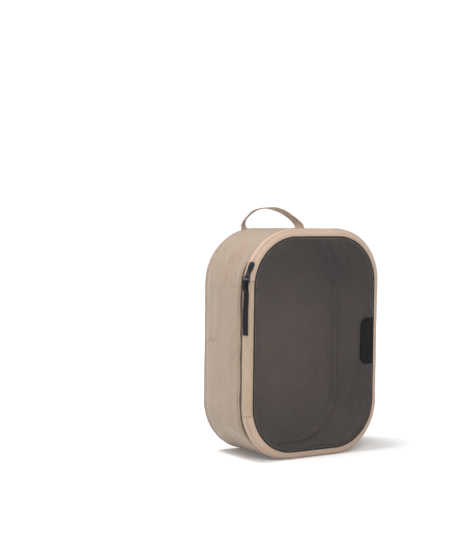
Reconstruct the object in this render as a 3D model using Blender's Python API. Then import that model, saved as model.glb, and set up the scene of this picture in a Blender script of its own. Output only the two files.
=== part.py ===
"""Soft-sided packing cube with a zipped mesh lid.

The frame stands the cube on its bottom: +X right, the mesh window faces -Y, +Z up, origin under its middle.
Every seam follows one rounded rectangle. A place on it is its turn angle: 0 on the left side, 90 on top,
180 on the right and 270 at the bottom. A cross-section is drawn as (inset from the outline, y).
"""

import math

import bmesh
import bpy
from mathutils import Matrix, Vector

MM = 0.001

# Body
WIDTH = 200 * MM
HEIGHT = 280 * MM
DEPTH = 98 * MM
CORNER_RADIUS = 70 * MM
FABRIC = 1.0 * MM
GAP = 0.3 * MM
CORNER_STEP = 7.5  # degrees between cross-sections round a corner

# Band round the front edge: zip tape on three sides, hinge strip on the left
BAND_FLAT = 2.5 * MM
EDGE_ROUND = 8.5 * MM
BAND_WIDTH = BAND_FLAT + EDGE_ROUND * math.pi / 2
BAND_MIDDLE = BAND_WIDTH / 2
TAPE_THICKNESS = 0.8 * MM
ZIP_SLOT = 1.6 * MM
COIL_WIDTH = 1.3 * MM
COIL_HEIGHT = 1.4 * MM
COIL_SHIFT = 0.2 * MM
STRIP_TOP = 7.5  # turn angle where the hinge strip ends and the zip begins
STRIP_BOTTOM = -11.0
PARKED_END = 29.5  # turn angle past which the zip tape is clear of the parked slider
HEM_WIDTH = 2.4  # degrees of turn

# Rear edge
REAR_BAND = 9 * MM
REAR_ROUND = 5.0 * MM

# Window
BINDING_WIDTH = 2.0 * MM
BINDING_HEIGHT = 1.8 * MM
MESH_THICKNESS = 0.6 * MM
MESH_DOME = 3.0 * MM
SEAM_ALLOWANCE = 5.0 * MM
PATCH_WIDTH = 21 * MM
PATCH_HEIGHT = 58 * MM
PATCH_THICKNESS = 1.2 * MM
PATCH_ROUND = 8 * MM

# Slider, tab and puller
SLIDER_TURN = 21.7
SLIDER_LENGTH = 12 * MM
SLIDER_WIDTH = 7.2 * MM
SLIDER_PLATE = 1.2 * MM
PLATE_LIFT = 0.45 * MM
POST_WIDTH = 0.7 * MM
LOWER_PLATE_TOP = -3.4 * MM
CROWN_WIDTH = 2.4 * MM
PIVOT_LIFT = 3.2 * MM
TAB_LENGTH = 20.5 * MM  # between its two bars
TAB_THICKNESS = 1.2 * MM
TAB_TILT = -5.0
STRAP_WIDTH = 6.2 * MM
STRAP_THICKNESS = 1.1 * MM
STRAP_LENGTH = 65.5 * MM
LOOP_RADIUS = 1.7 * MM
STRAP_SHIFT = 0.45 * MM  # toward the window, so that the upright loop clears the leaning tab

# Handle
HANDLE_SPAN = 86 * MM
HANDLE_RISE = 26 * MM
HANDLE_LEAN = 24.0
HANDLE_WIDTH = 13 * MM
HANDLE_THICKNESS = 1.4 * MM

CREASE_Y = -DEPTH / 2 + BAND_FLAT + EDGE_ROUND
FRONT_Y = -DEPTH / 2
REAR_Y = DEPTH / 2
CENTRES = (
    (-WIDTH / 2 + CORNER_RADIUS, HEIGHT - CORNER_RADIUS),
    (WIDTH / 2 - CORNER_RADIUS, HEIGHT - CORNER_RADIUS),
    (WIDTH / 2 - CORNER_RADIUS, CORNER_RADIUS),
    (-WIDTH / 2 + CORNER_RADIUS, CORNER_RADIUS),
)


def material(name, colour, roughness, metallic=0.0):
    made = bpy.data.materials.new(name)
    made.use_nodes = True
    shader = made.node_tree.nodes["Principled BSDF"]
    shader.inputs["Base Color"].default_value = (*colour, 1.0)
    shader.inputs["Roughness"].default_value = roughness
    shader.inputs["Metallic"].default_value = metallic
    made.diffuse_color = (*colour, 1.0)
    return made


def add(name, verts, faces, colour, origin=(0, 0, 0)):
    """One named object, its faces turned outward, with its origin where it turns."""
    origin = Vector(origin)
    mesh = bpy.data.meshes.new(name)
    mesh.from_pydata([Vector(v) - origin for v in verts], [], faces)
    body = bmesh.new()
    body.from_mesh(mesh)
    bmesh.ops.recalc_face_normals(body, faces=body.faces)
    body.to_mesh(mesh)
    body.free()
    if colour:
        mesh.materials.append(colour)
    made = bpy.data.objects.new(name, mesh)
    made.location = origin
    bpy.context.scene.collection.objects.link(made)
    return made


def stations(start, end):
    """(corner, turn angle) of each cross-section between two turn angles."""
    out = []
    for quarter in range(math.floor(start / 90), math.ceil(end / 90)):
        low, high = max(start, 90 * quarter), min(end, 90 * (quarter + 1))
        count = max(1, math.ceil((high - low) / CORNER_STEP - 1e-6))
        for k in range(count + 1):
            out.append((quarter % 4, math.radians(low + (high - low) * k / count)))
    return out


def on_outline(corner, turn, inset, y):
    x, z = CENTRES[corner]
    reach = CORNER_RADIUS - inset
    return (x - reach * math.cos(turn), y, z + reach * math.sin(turn))


def sweep(name, section, colour, start=0.0, end=360.0, origin=(0, 0, 0)):
    """Carry a closed cross-section along the outline; a whole turn closes on itself."""
    whole = end - start >= 360
    rows = stations(start, end)
    size = len(section)
    verts = [on_outline(corner, turn, i, y) for corner, turn in rows for i, y in section]
    faces = []
    for r in range(len(rows) if whole else len(rows) - 1):
        here, there = r * size, (r + 1) % len(rows) * size
        for k in range(size):
            following = (k + 1) % size
            faces.append((here + k, here + following, there + following, there + k))
    if not whole:
        faces.append(tuple(range(size)))
        faces.append(tuple(range((len(rows) - 1) * size, len(rows) * size)))
    return add(name, verts, faces, colour, origin)


def rectangle(inset_low, inset_high, y_low, y_high):
    return [(inset_low, y_low), (inset_high, y_low), (inset_high, y_high), (inset_low, y_high)]


def band_point(along, lift):
    """(inset, y) at a distance along the front band from its crease, lifted outward."""
    if along <= BAND_FLAT:
        return (-lift, CREASE_Y - along)
    turn = (along - BAND_FLAT) / EDGE_ROUND
    reach = EDGE_ROUND + lift
    return (EDGE_ROUND - reach * math.cos(turn), CREASE_Y - BAND_FLAT - reach * math.sin(turn))


def band_section(start, end, low, high):
    """Cross-section of a layer of the front band between two distances and two lifts."""
    count = max(1, math.ceil((end - max(start, BAND_FLAT)) / (3.0 * MM)))
    along = [max(start, BAND_FLAT) + (end - max(start, BAND_FLAT)) * k / count for k in range(count + 1)]
    if start < BAND_FLAT:
        along.insert(0, start)
    outer = [band_point(s, high) for s in along]
    inner = [band_point(s, low) for s in reversed(along)]
    return outer + inner


def rear_point(turn, radius):
    """(inset, y) on the rounding of the rear edge, from the side (0) to the back (90 degrees)."""
    return (REAR_ROUND - radius * math.cos(turn), REAR_Y - REAR_ROUND + radius * math.sin(turn))


def dome(inset):
    """How far the mesh bows forward at an inset from the outline."""
    share = (inset - EDGE_ROUND) / (CORNER_RADIUS - EDGE_ROUND)
    share = min(1.0, max(0.0, share))
    return MESH_DOME * (1 - (1 - share) ** 2)


def plate(name, insets, front, back, colour, origin=(0, 0, 0)):
    """A panel over the whole outline, stepped inward in rings and closed in the middle."""
    rows = stations(0, 360)
    size = len(rows)
    verts, faces = [], []
    rings = [(i, front(i)) for i in reversed(insets)] + [(i, back(i)) for i in insets]
    for inset, y in rings:
        verts += [on_outline(corner, turn, inset, y) for corner, turn in rows]
    for r in range(len(rings) - 1):
        for k in range(size):
            following = (k + 1) % size
            faces.append((r * size + k, r * size + following, (r + 1) * size + following, (r + 1) * size + k))
    faces.append(tuple(range(size)))
    faces.append(tuple(range((len(rings) - 1) * size, len(rings) * size)))
    return add(name, verts, faces, colour, origin)


def placed(points, axes, at):
    """Local (u, v, w) points set on three axes at a place."""
    return [at + axes[0] * u + axes[1] * v + axes[2] * w for u, v, w in points]


def prism(name, outline, low, high, axes, at, colour, origin):
    """A flat outline in the first two axes, given thickness along the third."""
    size = len(outline)
    verts = placed([(u, v, low) for u, v in outline] + [(u, v, high) for u, v in outline], axes, at)
    faces = [(k, (k + 1) % size, size + (k + 1) % size, size + k) for k in range(size)]
    faces += [tuple(range(size)), tuple(range(size, 2 * size))]
    return add(name, verts, faces, colour, origin)


def block(name, u, v, w, axes, at, colour, origin):
    outline = [(u[0], v[0]), (u[1], v[0]), (u[1], v[1]), (u[0], v[1])]
    return prism(name, outline, w[0], w[1], axes, at, colour, origin)


def combine(target, tool, operation):
    modifier = target.modifiers.new(tool.name, "BOOLEAN")
    modifier.operation = operation
    modifier.solver = "EXACT"
    modifier.object = tool
    tool.hide_render = True
    tool.display_type = "WIRE"


def ribbon(name, centre_line, across, thickness, colour, origin):
    """A strap: its middle line, the half-width direction at each point, and its thickness."""
    verts, faces = [], []
    last = len(centre_line) - 1
    for k, (here, side) in enumerate(zip(centre_line, across)):
        along = centre_line[min(k + 1, last)] - centre_line[max(k - 1, 0)]
        face = along.cross(side).normalized() * thickness / 2
        verts += [here - side - face, here + side - face, here + side + face, here - side + face]
    for k in range(last):
        for c in range(4):
            d = (c + 1) % 4
            faces.append((4 * k + c, 4 * k + d, 4 * k + 4 + d, 4 * k + 4 + c))
    faces += [(0, 1, 2, 3), tuple(4 * last + c for c in range(4))]
    return add(name, verts, faces, colour, origin)


def build_body(nylon, tape, coil, webbing, lining):
    side_start, side_end = CREASE_Y + GAP, REAR_Y - REAR_BAND - GAP
    sweep("side_gusset", rectangle(0, FABRIC, side_start, side_end), nylon)
    inner = FABRIC + GAP
    sweep("gusset_front_seam", rectangle(inner, inner + FABRIC, side_start, side_start + 8 * MM), lining)
    rear_turns = [math.radians(30 * k) for k in range(4)]
    back_edge = REAR_ROUND + 3 * MM
    outer = [(0, REAR_Y - REAR_BAND)] + [rear_point(a, REAR_ROUND) for a in rear_turns]
    outer.append((back_edge, REAR_Y))
    under = [(back_edge, REAR_Y - FABRIC)]
    under += [rear_point(a, REAR_ROUND - FABRIC) for a in reversed(rear_turns)]
    under.append((FABRIC, REAR_Y - REAR_BAND))
    sweep("rear_binding", outer + under, tape)
    sweep("rear_inner_seam", rectangle(inner, inner + FABRIC, REAR_Y - 16 * MM, REAR_Y - 6 * MM), lining)
    back_inset = back_edge + GAP
    plate("back_panel", [back_inset], lambda i: REAR_Y - FABRIC, lambda i: REAR_Y, nylon)

    edge = BAND_MIDDLE - ZIP_SLOT / 2
    tape_section = band_section(0, edge, -TAPE_THICKNESS, 0)
    zip_start, zip_end = STRIP_TOP + 0.3, 360 + STRIP_BOTTOM - 0.6
    sweep("zip_tape_outer_start", tape_section, tape, zip_start, PARKED_END)
    sweep("zip_tape_outer", tape_section, tape, PARKED_END + 0.3, zip_end)
    coil_low = -TAPE_THICKNESS - GAP - COIL_HEIGHT
    coil_top = -TAPE_THICKNESS - GAP
    coil_edge = edge - COIL_SHIFT
    coil_section = band_section(coil_edge - COIL_WIDTH, coil_edge, coil_low, coil_top)
    sweep("zip_coil_outer", coil_section, coil, PARKED_END + 0.3, zip_end - 4)
    stop_section = band_section(edge - 2 * COIL_WIDTH, edge, coil_low, -TAPE_THICKNESS - GAP)
    sweep("zip_end_stop", stop_section, coil, zip_end - 3.6, zip_end - 1)

    x, y, z = Vector((1, 0, 0)), Vector((0, 1, 0)), Vector((0, 0, 1))
    for side, label in ((-1, "left"), (1, "right")):
        foot = Vector((side * HANDLE_SPAN / 2, REAR_Y - 6 * MM, HEIGHT))
        half = HANDLE_WIDTH / 2
        block(f"handle_anchor_{label}", (-half, half), (-7 * MM, 1 * MM), (GAP, 0.7 * MM), (x, y, z), foot,
              webbing, (0, 0, 0))


def build_handle(webbing):
    """The loop leaves its anchors flat to the back, turns to face upward, and leans back at rest."""
    pivot = Vector((0, REAR_Y - 2.5 * MM, HEIGHT + 0.5 * MM))
    lean = math.radians(HANDLE_LEAN)
    plane = Vector((0, math.cos(lean), -math.sin(lean)))
    upright = Vector((0, math.sin(lean), math.cos(lean)))
    count = 20
    line, across = [], []
    for k in range(count + 1):
        turn = math.pi * (1 - k / count)
        rise = max(0.0, math.sin(turn)) ** 1.22
        low = pivot + Vector((HANDLE_SPAN / 2 * math.cos(turn), 0, 0))
        line.append(low + upright * (0.6 * MM + HANDLE_RISE * rise))
    for k in range(count + 1):
        along = (line[min(k + 1, count)] - line[max(k - 1, 0)]).normalized()
        if k in (0, count):
            along = upright if k == 0 else -upright
        in_plane = along.cross(plane).normalized()
        if in_plane.x < 0:
            in_plane = -in_plane
        share = min(1.0, min(k, count - k) / (0.25 * count))
        twist = math.pi / 2 * share * share * (3 - 2 * share)
        sign = 1 if k <= count / 2 else -1
        side = in_plane * math.cos(twist) * sign + plane * math.sin(twist)
        across.append(side * HANDLE_WIDTH / 2)
    ribbon("handle_webbing", line, across, HANDLE_THICKNESS, webbing, pivot)


def build_lid(nylon, tape, coil, binding, mesh, lining, rubber):
    hinge = (-WIDTH / 2, CREASE_Y, HEIGHT / 2)
    strip_section = band_section(GAP, BAND_WIDTH, -TAPE_THICKNESS, 0)
    sweep("hinge_strip", strip_section, nylon, STRIP_BOTTOM, STRIP_TOP, hinge)
    hem_section = band_section(1.0 * MM, BAND_WIDTH - 1 * MM, GAP, GAP + 0.4 * MM)
    sweep("hinge_hem_top", hem_section, nylon, STRIP_TOP - 0.3 - HEM_WIDTH, STRIP_TOP - 0.3, hinge)
    sweep("hinge_hem_bottom", hem_section, nylon, STRIP_BOTTOM + 0.3, STRIP_BOTTOM + 0.3 + HEM_WIDTH, hinge)
    edge = BAND_MIDDLE + ZIP_SLOT / 2
    zip_start, zip_end = STRIP_TOP + 0.3, 360 + STRIP_BOTTOM - 0.3
    sweep("zip_tape_inner", band_section(edge, BAND_WIDTH, -TAPE_THICKNESS, 0), tape,
          zip_start, zip_end, hinge)
    coil_low = -TAPE_THICKNESS - GAP - COIL_HEIGHT
    coil_edge = edge + COIL_SHIFT
    coil_section = band_section(coil_edge, coil_edge + COIL_WIDTH, coil_low, -TAPE_THICKNESS - GAP)
    sweep("zip_coil_inner", coil_section, coil, zip_start + 0.5, zip_end - 1, hinge)

    bind_low = EDGE_ROUND + GAP
    bind_high = bind_low + BINDING_WIDTH
    half = BINDING_HEIGHT / 2
    middle = FRONT_Y + 0.3 * MM
    bead = [(bind_low, middle - 0.4 * half), (bind_low + 0.25 * BINDING_WIDTH, middle - half)]
    bead += [(bind_high - 0.25 * BINDING_WIDTH, middle - half), (bind_high, middle - 0.4 * half)]
    bead += [(bind_high, middle + half), (bind_low, middle + half)]
    sweep("window_binding", bead, binding, 0, 360, hinge)
    mesh_edge = bind_high + GAP
    insets = [mesh_edge, 18 * MM, 30 * MM, 45 * MM, 60 * MM]
    plate("window_mesh", insets, lambda i: FRONT_Y - dome(i), lambda i: FRONT_Y - dome(i) + MESH_THICKNESS,
          mesh, hinge)
    behind = FRONT_Y + MESH_THICKNESS + GAP
    sweep("window_seam_allowance", rectangle(mesh_edge, mesh_edge + SEAM_ALLOWANCE, behind, behind + FABRIC),
          lining, 0, 360, hinge)
    build_patch(mesh_edge, rubber, hinge)


def build_patch(start, rubber, hinge):
    """Rubber patch on the mesh, tucked into its right-hand binding, rounded on its free side."""
    insets = [start, start + 0.3 * PATCH_WIDTH, start + 0.55 * PATCH_WIDTH]
    for k in range(6):
        insets.append(start + PATCH_WIDTH - PATCH_ROUND * (1 - math.sin(math.radians(18 * k))))
    lift = GAP + 0.1 * MM
    verts, faces = [], []
    for inset in insets:
        past = max(0.0, inset - (start + PATCH_WIDTH - PATCH_ROUND))
        cut = PATCH_ROUND - math.sqrt(max(0.0, PATCH_ROUND**2 - past**2))
        tall = PATCH_HEIGHT / 2 - cut
        under = FRONT_Y - dome(inset) - lift
        for z in (HEIGHT / 2 - tall, HEIGHT / 2 + tall):
            verts.append((WIDTH / 2 - inset, under, z))
            verts.append((WIDTH / 2 - inset, under - PATCH_THICKNESS, z))
    last = len(insets) - 1
    for k in range(last):
        for a, b in ((0, 1), (1, 3), (3, 2), (2, 0)):
            faces.append((4 * k + a, 4 * k + b, 4 * k + 4 + b, 4 * k + 4 + a))
    faces += [(0, 1, 3, 2), (4 * last, 4 * last + 1, 4 * last + 3, 4 * last + 2)]
    add("label_patch", verts, faces, rubber, hinge)


def slider_frame():
    """Axes along the zip, across it and out of it, and the place under the slider's middle."""
    turn = math.radians(SLIDER_TURN)
    tilt = (BAND_MIDDLE - BAND_FLAT) / EDGE_ROUND
    inset, y = band_point(BAND_MIDDLE, 0)
    at = Vector(on_outline(0, turn, inset, y))
    along = Vector((math.sin(turn), 0, math.cos(turn)))
    out = Vector((-math.cos(turn) * math.cos(tilt), -math.sin(tilt), math.sin(turn) * math.cos(tilt)))
    across = along.cross(out)
    return (along, across, out), at


def build_slider(metal):
    axes, at = slider_frame()
    origin = (CENTRES[0][0], at.y, CENTRES[0][1])
    long, wide = SLIDER_LENGTH / 2, SLIDER_WIDTH / 2
    top_plate = [(-long, -0.7 * wide), (-0.5 * long, -wide), (0.55 * long, -wide), (long, -0.62 * wide)]
    top_plate += [(u, -v) for u, v in reversed(top_plate)]
    low, high = PLATE_LIFT, PLATE_LIFT + SLIDER_PLATE
    body = prism("slider_body", top_plate, low, high, axes, at, metal, origin)
    post = block("slider_post", (0.3 * long, 0.8 * long), (-POST_WIDTH / 2, POST_WIDTH / 2),
                 (LOWER_PLATE_TOP - 0.3 * MM, low + 0.4 * MM), axes, at, metal, origin)
    under = block("slider_under", (-0.75 * long, 0.9 * long), (-0.8 * wide, 0.8 * wide),
                  (LOWER_PLATE_TOP - 0.9 * MM, LOWER_PLATE_TOP), axes, at, metal, origin)
    combine(body, post, "UNION")
    combine(body, under, "UNION")

    foot, arch = high + GAP, PIVOT_LIFT + 1.1 * MM
    reach, leg = 4.3 * MM, 1.0 * MM
    bridge = [(-reach, foot), (-reach + leg, foot), (-reach + leg + 0.4 * MM, arch),
              (reach - leg - 0.4 * MM, arch)]
    bridge += [(reach - leg, foot), (reach, foot), (reach - 0.6 * MM, arch + 0.5 * MM)]
    bridge += [(reach - 1.6 * MM, arch + 0.9 * MM), (-reach + 1.6 * MM, arch + 0.9 * MM)]
    bridge.append((-reach + 0.6 * MM, arch + 0.5 * MM))
    turned = (axes[0], axes[2], axes[1])
    prism("slider_crown", bridge, -CROWN_WIDTH / 2, CROWN_WIDTH / 2, turned, at, metal, origin)


def tab_frame():
    """Axes down the tab, across it and out of it, with its pivot in the slider's crown."""
    (along, across, out), at = slider_frame()
    tilt = math.radians(TAB_TILT)
    down = -along * math.cos(tilt) + out * math.sin(tilt)
    return (down, across, across.cross(down) * -1), at + out * PIVOT_LIFT


def build_tab(metal):
    axes, pivot = tab_frame()
    half, arm = TAB_THICKNESS / 2, 1.0 * MM
    narrow, broad = 2.8 * MM, 4.5 * MM
    neck, slot_top = 7.5 * MM, TAB_LENGTH - 5.0 * MM
    end = TAB_LENGTH + 0.6 * MM
    right = [(-half, narrow - 0.4 * MM), (0, narrow), (neck, narrow), (slot_top - 1.5 * MM, broad)]
    right += [(end - 0.8 * MM, broad), (end, broad - 0.8 * MM)]
    outline = right + [(u, -v) for u, v in reversed(right)]
    tab = prism("pull_tab", outline, -half, half, axes, pivot, metal, pivot)
    eye = block("tab_eye", (half, 6.0 * MM), (-narrow + arm, narrow - arm), (-2 * half, 2 * half),
                axes, pivot, None, pivot)
    slot = block("tab_slot", (slot_top, TAB_LENGTH - 0.55 * MM), (-broad + 0.9 * MM, broad - 0.9 * MM),
                 (-2 * half, 2 * half), axes, pivot, None, pivot)
    combine(tab, eye, "DIFFERENCE")
    combine(tab, slot, "DIFFERENCE")


def build_strap(rubber, thread):
    """Folded strap: a loop round the tab's lower bar, then both layers down to their end."""
    axes, pivot = tab_frame()
    bar = pivot + axes[0] * TAB_LENGTH
    tilt = (BAND_MIDDLE - BAND_FLAT) / EDGE_ROUND
    out = Vector((-math.cos(tilt), -math.sin(tilt), 0))
    across = Vector((math.sin(tilt), -math.cos(tilt), 0))
    inset, y = band_point(BAND_MIDDLE, 0)
    surface = Vector((-WIDTH / 2 + inset, y, bar.z))
    lifted = (bar - surface).dot(out)
    base = bar - out * lifted + across * STRAP_SHIFT
    inner = 0.95 * MM + STRAP_THICKNESS / 2
    outer = inner + STRAP_THICKNESS + 0.4 * MM
    crown = 0.9 * MM
    low = crown + LOOP_RADIUS + STRAP_THICKNESS / 2 - STRAP_LENGTH
    near, far = lifted - LOOP_RADIUS, lifted + LOOP_RADIUS
    path = [(outer, low), (outer, -14 * MM), (outer + 0.4 * MM, -9.5 * MM), (far - 0.3 * MM, -5.5 * MM)]
    path.append((far, -2.5 * MM))
    for k in range(9):
        turn = math.radians(22.5 * k)
        path.append((lifted + LOOP_RADIUS * math.cos(turn), crown + LOOP_RADIUS * math.sin(turn)))
    path += [(near, -2.5 * MM), ((near + inner) / 2, -6 * MM), (inner, -9.5 * MM), (inner, low)]
    line = [base + out * n + Vector((0, 0, h)) for n, h in path]
    sides = [across * STRAP_WIDTH / 2] * len(line)
    ribbon("puller_strap", line, sides, STRAP_THICKNESS, rubber, bar)
    face = outer + STRAP_THICKNESS / 2
    block("puller_stitching", (-2.0 * MM, 2.0 * MM), (face + GAP, face + 0.6 * MM), (-24 * MM, -15 * MM),
          (across, out, Vector((0, 0, 1))), base, thread, bar)


for old in list(bpy.data.objects):
    bpy.data.objects.remove(old, do_unlink=True)

nylon = material("beige_nylon", (0.52, 0.40, 0.30), 0.75)
tape = material("zip_tape_beige", (0.55, 0.41, 0.32), 0.85)
coil = material("zip_coil_beige", (0.45, 0.33, 0.25), 0.5)
webbing = material("beige_webbing", (0.56, 0.43, 0.32), 0.85)
lining = material("seam_lining", (0.30, 0.23, 0.18), 0.85)
binding = material("black_binding", (0.02, 0.02, 0.022), 0.6)
mesh = material("smoke_mesh", (0.035, 0.035, 0.04), 0.55)
rubber = material("black_rubber", (0.018, 0.018, 0.02), 0.5)
thread = material("black_thread", (0.03, 0.03, 0.032), 0.8)
metal = material("gunmetal", (0.06, 0.06, 0.065), 0.4, 0.8)

build_body(nylon, tape, coil, webbing, lining)
build_handle(webbing)
build_lid(nylon, tape, coil, binding, mesh, lining, rubber)
build_slider(metal)
build_tab(metal)
build_strap(rubber, thread)
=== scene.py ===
"""Looks of the soft packing cube: nylon walls, mesh window, zip, slider, pull strap and webbing handle."""
import math

import bmesh
import bpy
import numpy as np
from mathutils import Matrix, Vector, noise


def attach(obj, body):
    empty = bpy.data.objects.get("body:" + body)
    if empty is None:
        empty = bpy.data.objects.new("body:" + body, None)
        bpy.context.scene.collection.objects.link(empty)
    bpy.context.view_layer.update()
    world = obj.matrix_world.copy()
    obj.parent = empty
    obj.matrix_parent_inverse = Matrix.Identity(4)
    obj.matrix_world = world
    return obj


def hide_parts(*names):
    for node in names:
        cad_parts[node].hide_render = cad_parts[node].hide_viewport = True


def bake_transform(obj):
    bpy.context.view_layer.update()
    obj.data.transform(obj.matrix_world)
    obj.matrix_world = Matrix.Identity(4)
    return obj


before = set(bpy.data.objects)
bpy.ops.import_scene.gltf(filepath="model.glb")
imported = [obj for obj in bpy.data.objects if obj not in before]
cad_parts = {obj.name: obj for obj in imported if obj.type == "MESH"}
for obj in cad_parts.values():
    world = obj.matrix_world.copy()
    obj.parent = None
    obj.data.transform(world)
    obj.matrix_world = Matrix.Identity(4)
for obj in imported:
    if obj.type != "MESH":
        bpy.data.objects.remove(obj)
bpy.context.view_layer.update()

MM = 0.001
WIDTH, HEIGHT, DEPTH = 200 * MM, 280 * MM, 98 * MM
RADIUS = 70 * MM
FLAT, EDGE = 2.5 * MM, 8.5 * MM
BAND = FLAT + EDGE * math.pi / 2
MIDDLE = BAND / 2
FRONT, REAR = -DEPTH / 2, DEPTH / 2
CREASE = FRONT + FLAT + EDGE
REAR_BAND, REAR_ROUND = 9 * MM, 5 * MM
STRIP_TOP, STRIP_BOTTOM = 7.5, -11.0
SLIDER_TURN = 21.7
CENTRES = ((-WIDTH / 2 + RADIUS, HEIGHT - RADIUS), (WIDTH / 2 - RADIUS, HEIGHT - RADIUS),
           (WIDTH / 2 - RADIUS, RADIUS), (-WIDTH / 2 + RADIUS, RADIUS))

# Corner radii of the stuffed outline, in the order of CENTRES; the slider's corner keeps RADIUS.
TIGHT = (70 * MM, 64 * MM, 64 * MM, 67 * MM)
# How far the rear of the top sinks.
SINK = 1.6 * MM
CLOTH_THICK, TAPE_THICK = 0.6 * MM, 0.7 * MM
SEAM_GAP = 0.1
SPACING = 3 * MM
PANEL_COLUMNS = 64

# ---------------------------------------------------------------- materials


class Shader:
    """A node material built line by line."""

    def __init__(self, name, roughness=0.7, metallic=0.0, sheen=0.0, specular=0.5):
        self.material = bpy.data.materials.new(name)
        self.material.use_nodes = True
        self.tree = self.material.node_tree
        self.out = self.tree.nodes["Principled BSDF"]
        for socket, value in (("Roughness", roughness), ("Metallic", metallic), ("Sheen Weight", sheen),
                              ("Specular IOR Level", specular)):
            self.out.inputs[socket].default_value = value

    def node(self, kind, *links, **settings):
        made = self.tree.nodes.new("ShaderNode" + kind)
        for key, value in settings.items():
            setattr(made, key, value)
        for index, value in enumerate(links):
            self.put(made.inputs[index], value)
        return made

    def put(self, socket, value):
        if value is None:
            return
        if isinstance(value, bpy.types.NodeSocket):
            self.tree.links.new(value, socket)
        else:
            socket.default_value = value

    def set(self, name, value):
        self.put(self.out.inputs[name], value)

    def math(self, operation, *values):
        return self.node("Math", *values, operation=operation).outputs[0]

    def uv(self):
        """Cloth coordinates in metres: along the seam and across the panel."""
        made = self.node("UVMap")
        made.uv_map = "cloth"
        parts = self.node("SeparateXYZ", made.outputs[0])
        return parts.outputs[0], parts.outputs[1]

    def place(self):
        return self.node("TexCoord").outputs["Object"]

    def noise(self, vector, scale, detail=3.0, roughness=0.5):
        made = self.node("TexNoise")
        self.put(made.inputs["Vector"], vector)
        made.inputs["Scale"].default_value = scale
        made.inputs["Detail"].default_value = detail
        made.inputs["Roughness"].default_value = roughness
        return made.outputs["Fac"]

    def wave(self, value, pitch):
        """A smooth 0 to 1 rib of that pitch in metres."""
        turned = self.math("MULTIPLY", value, 2 * math.pi / pitch)
        return self.math("MULTIPLY_ADD", self.math("SINE", turned), 0.5, 0.5)

    def line(self, value, pitch, width):
        """1 on a thin line every pitch metres, 0 between."""
        share = self.math("FRACT", self.math("MULTIPLY", value, 1 / pitch))
        off = self.math("ABSOLUTE", self.math("SUBTRACT", share, 0.5))
        soft = self.node("MapRange", off, 0.5 * width / pitch, 1.3 * width / pitch, 1.0, 0.0)
        soft.interpolation_type = "SMOOTHSTEP"
        return soft.outputs[0]

    def blend(self, share, one, two):
        made = self.node("Mix", data_type="RGBA")
        self.put(made.inputs[0], share)
        self.put(made.inputs[6], (*one, 1.0) if isinstance(one, tuple) else one)
        self.put(made.inputs[7], (*two, 1.0) if isinstance(two, tuple) else two)
        return made.outputs[2]

    def bump(self, height, distance, strength=1.0, over=None):
        made = self.node("Bump")
        made.inputs["Strength"].default_value = strength
        made.inputs["Distance"].default_value = distance
        self.put(made.inputs["Height"], height)
        self.put(made.inputs["Normal"], over)
        return made.outputs[0]

    def done(self):
        return self.material


def shade(colour, factor):
    return tuple(min(1.0, c * factor) for c in colour)


def ripstop(name, colour):
    """Light nylon: a plain weave crossed by a diagonal grid of thicker threads."""
    s = Shader(name, roughness=0.62, sheen=0.25, specular=0.35)
    s.out.inputs["Sheen Roughness"].default_value = 0.45
    u, v = s.uv()
    tall, broad = s.math("MULTIPLY", u, 1 / (24 * MM)), s.math("MULTIPLY", v, 1 / (18 * MM))
    one = s.line(s.math("ADD", tall, broad), 1.0, 0.034)
    two = s.line(s.math("SUBTRACT", tall, broad), 1.0, 0.034)
    grid = s.math("MAXIMUM", one, two)
    weave = s.math("MULTIPLY", s.wave(u, 0.9 * MM), s.wave(v, 0.9 * MM))
    cloud = s.noise(s.place(), 38.0, 4.0)
    fine = s.noise(s.place(), 900.0, 2.0)
    tone = s.blend(cloud, shade(colour, 0.90), shade(colour, 1.08))
    patchy = s.node("MapRange", s.noise(s.place(), 17.0, 2.0), 0.38, 0.62, 0.10, 0.34).outputs[0]
    tone = s.blend(s.math("MULTIPLY", grid, patchy), tone, shade(colour, 0.55))
    tone = s.blend(s.math("MULTIPLY", fine, 0.22), tone, shade(colour, 0.72))
    s.set("Base Color", tone)
    s.set("Roughness", s.math("MULTIPLY_ADD", fine, 0.16, 0.54))
    low = s.bump(s.noise(s.place(), 160.0, 3.0), 0.5 * MM, 0.35)
    mid = s.bump(grid, 0.16 * MM, 0.7, low)
    s.set("Normal", s.bump(weave, 0.08 * MM, 0.6, mid))
    return s.done()


def ribbed(name, colour, pitch, along, height, roughness=0.8, sheen=0.2, cross=None):
    """Woven tape whose ribs run along the seam, across it, or both."""
    s = Shader(name, roughness=roughness, sheen=sheen, specular=0.3)
    u, v = s.uv()
    rib = s.wave(v if along else u, pitch)
    relief = rib
    if cross:
        relief = s.math("ADD", rib, s.math("MULTIPLY", s.wave(u if along else v, cross), 0.5))
    cloud = s.noise(s.place(), 55.0, 3.0)
    fine = s.noise(s.place(), 1300.0, 2.0)
    tone = s.blend(cloud, shade(colour, 0.92), shade(colour, 1.07))
    # Painted shade: the valleys between the ribs are darkened.
    tone = s.blend(s.math("MULTIPLY", s.math("SUBTRACT", 1.0, rib), 0.28), tone, shade(colour, 0.62))
    tone = s.blend(s.math("MULTIPLY", fine, 0.2), tone, shade(colour, 0.7))
    s.set("Base Color", tone)
    s.set("Roughness", s.math("MULTIPLY_ADD", fine, 0.15, roughness - 0.08))
    s.set("Normal", s.bump(relief, height, 0.8, s.bump(fine, 0.1 * MM, 0.3)))
    return s.done()


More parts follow.
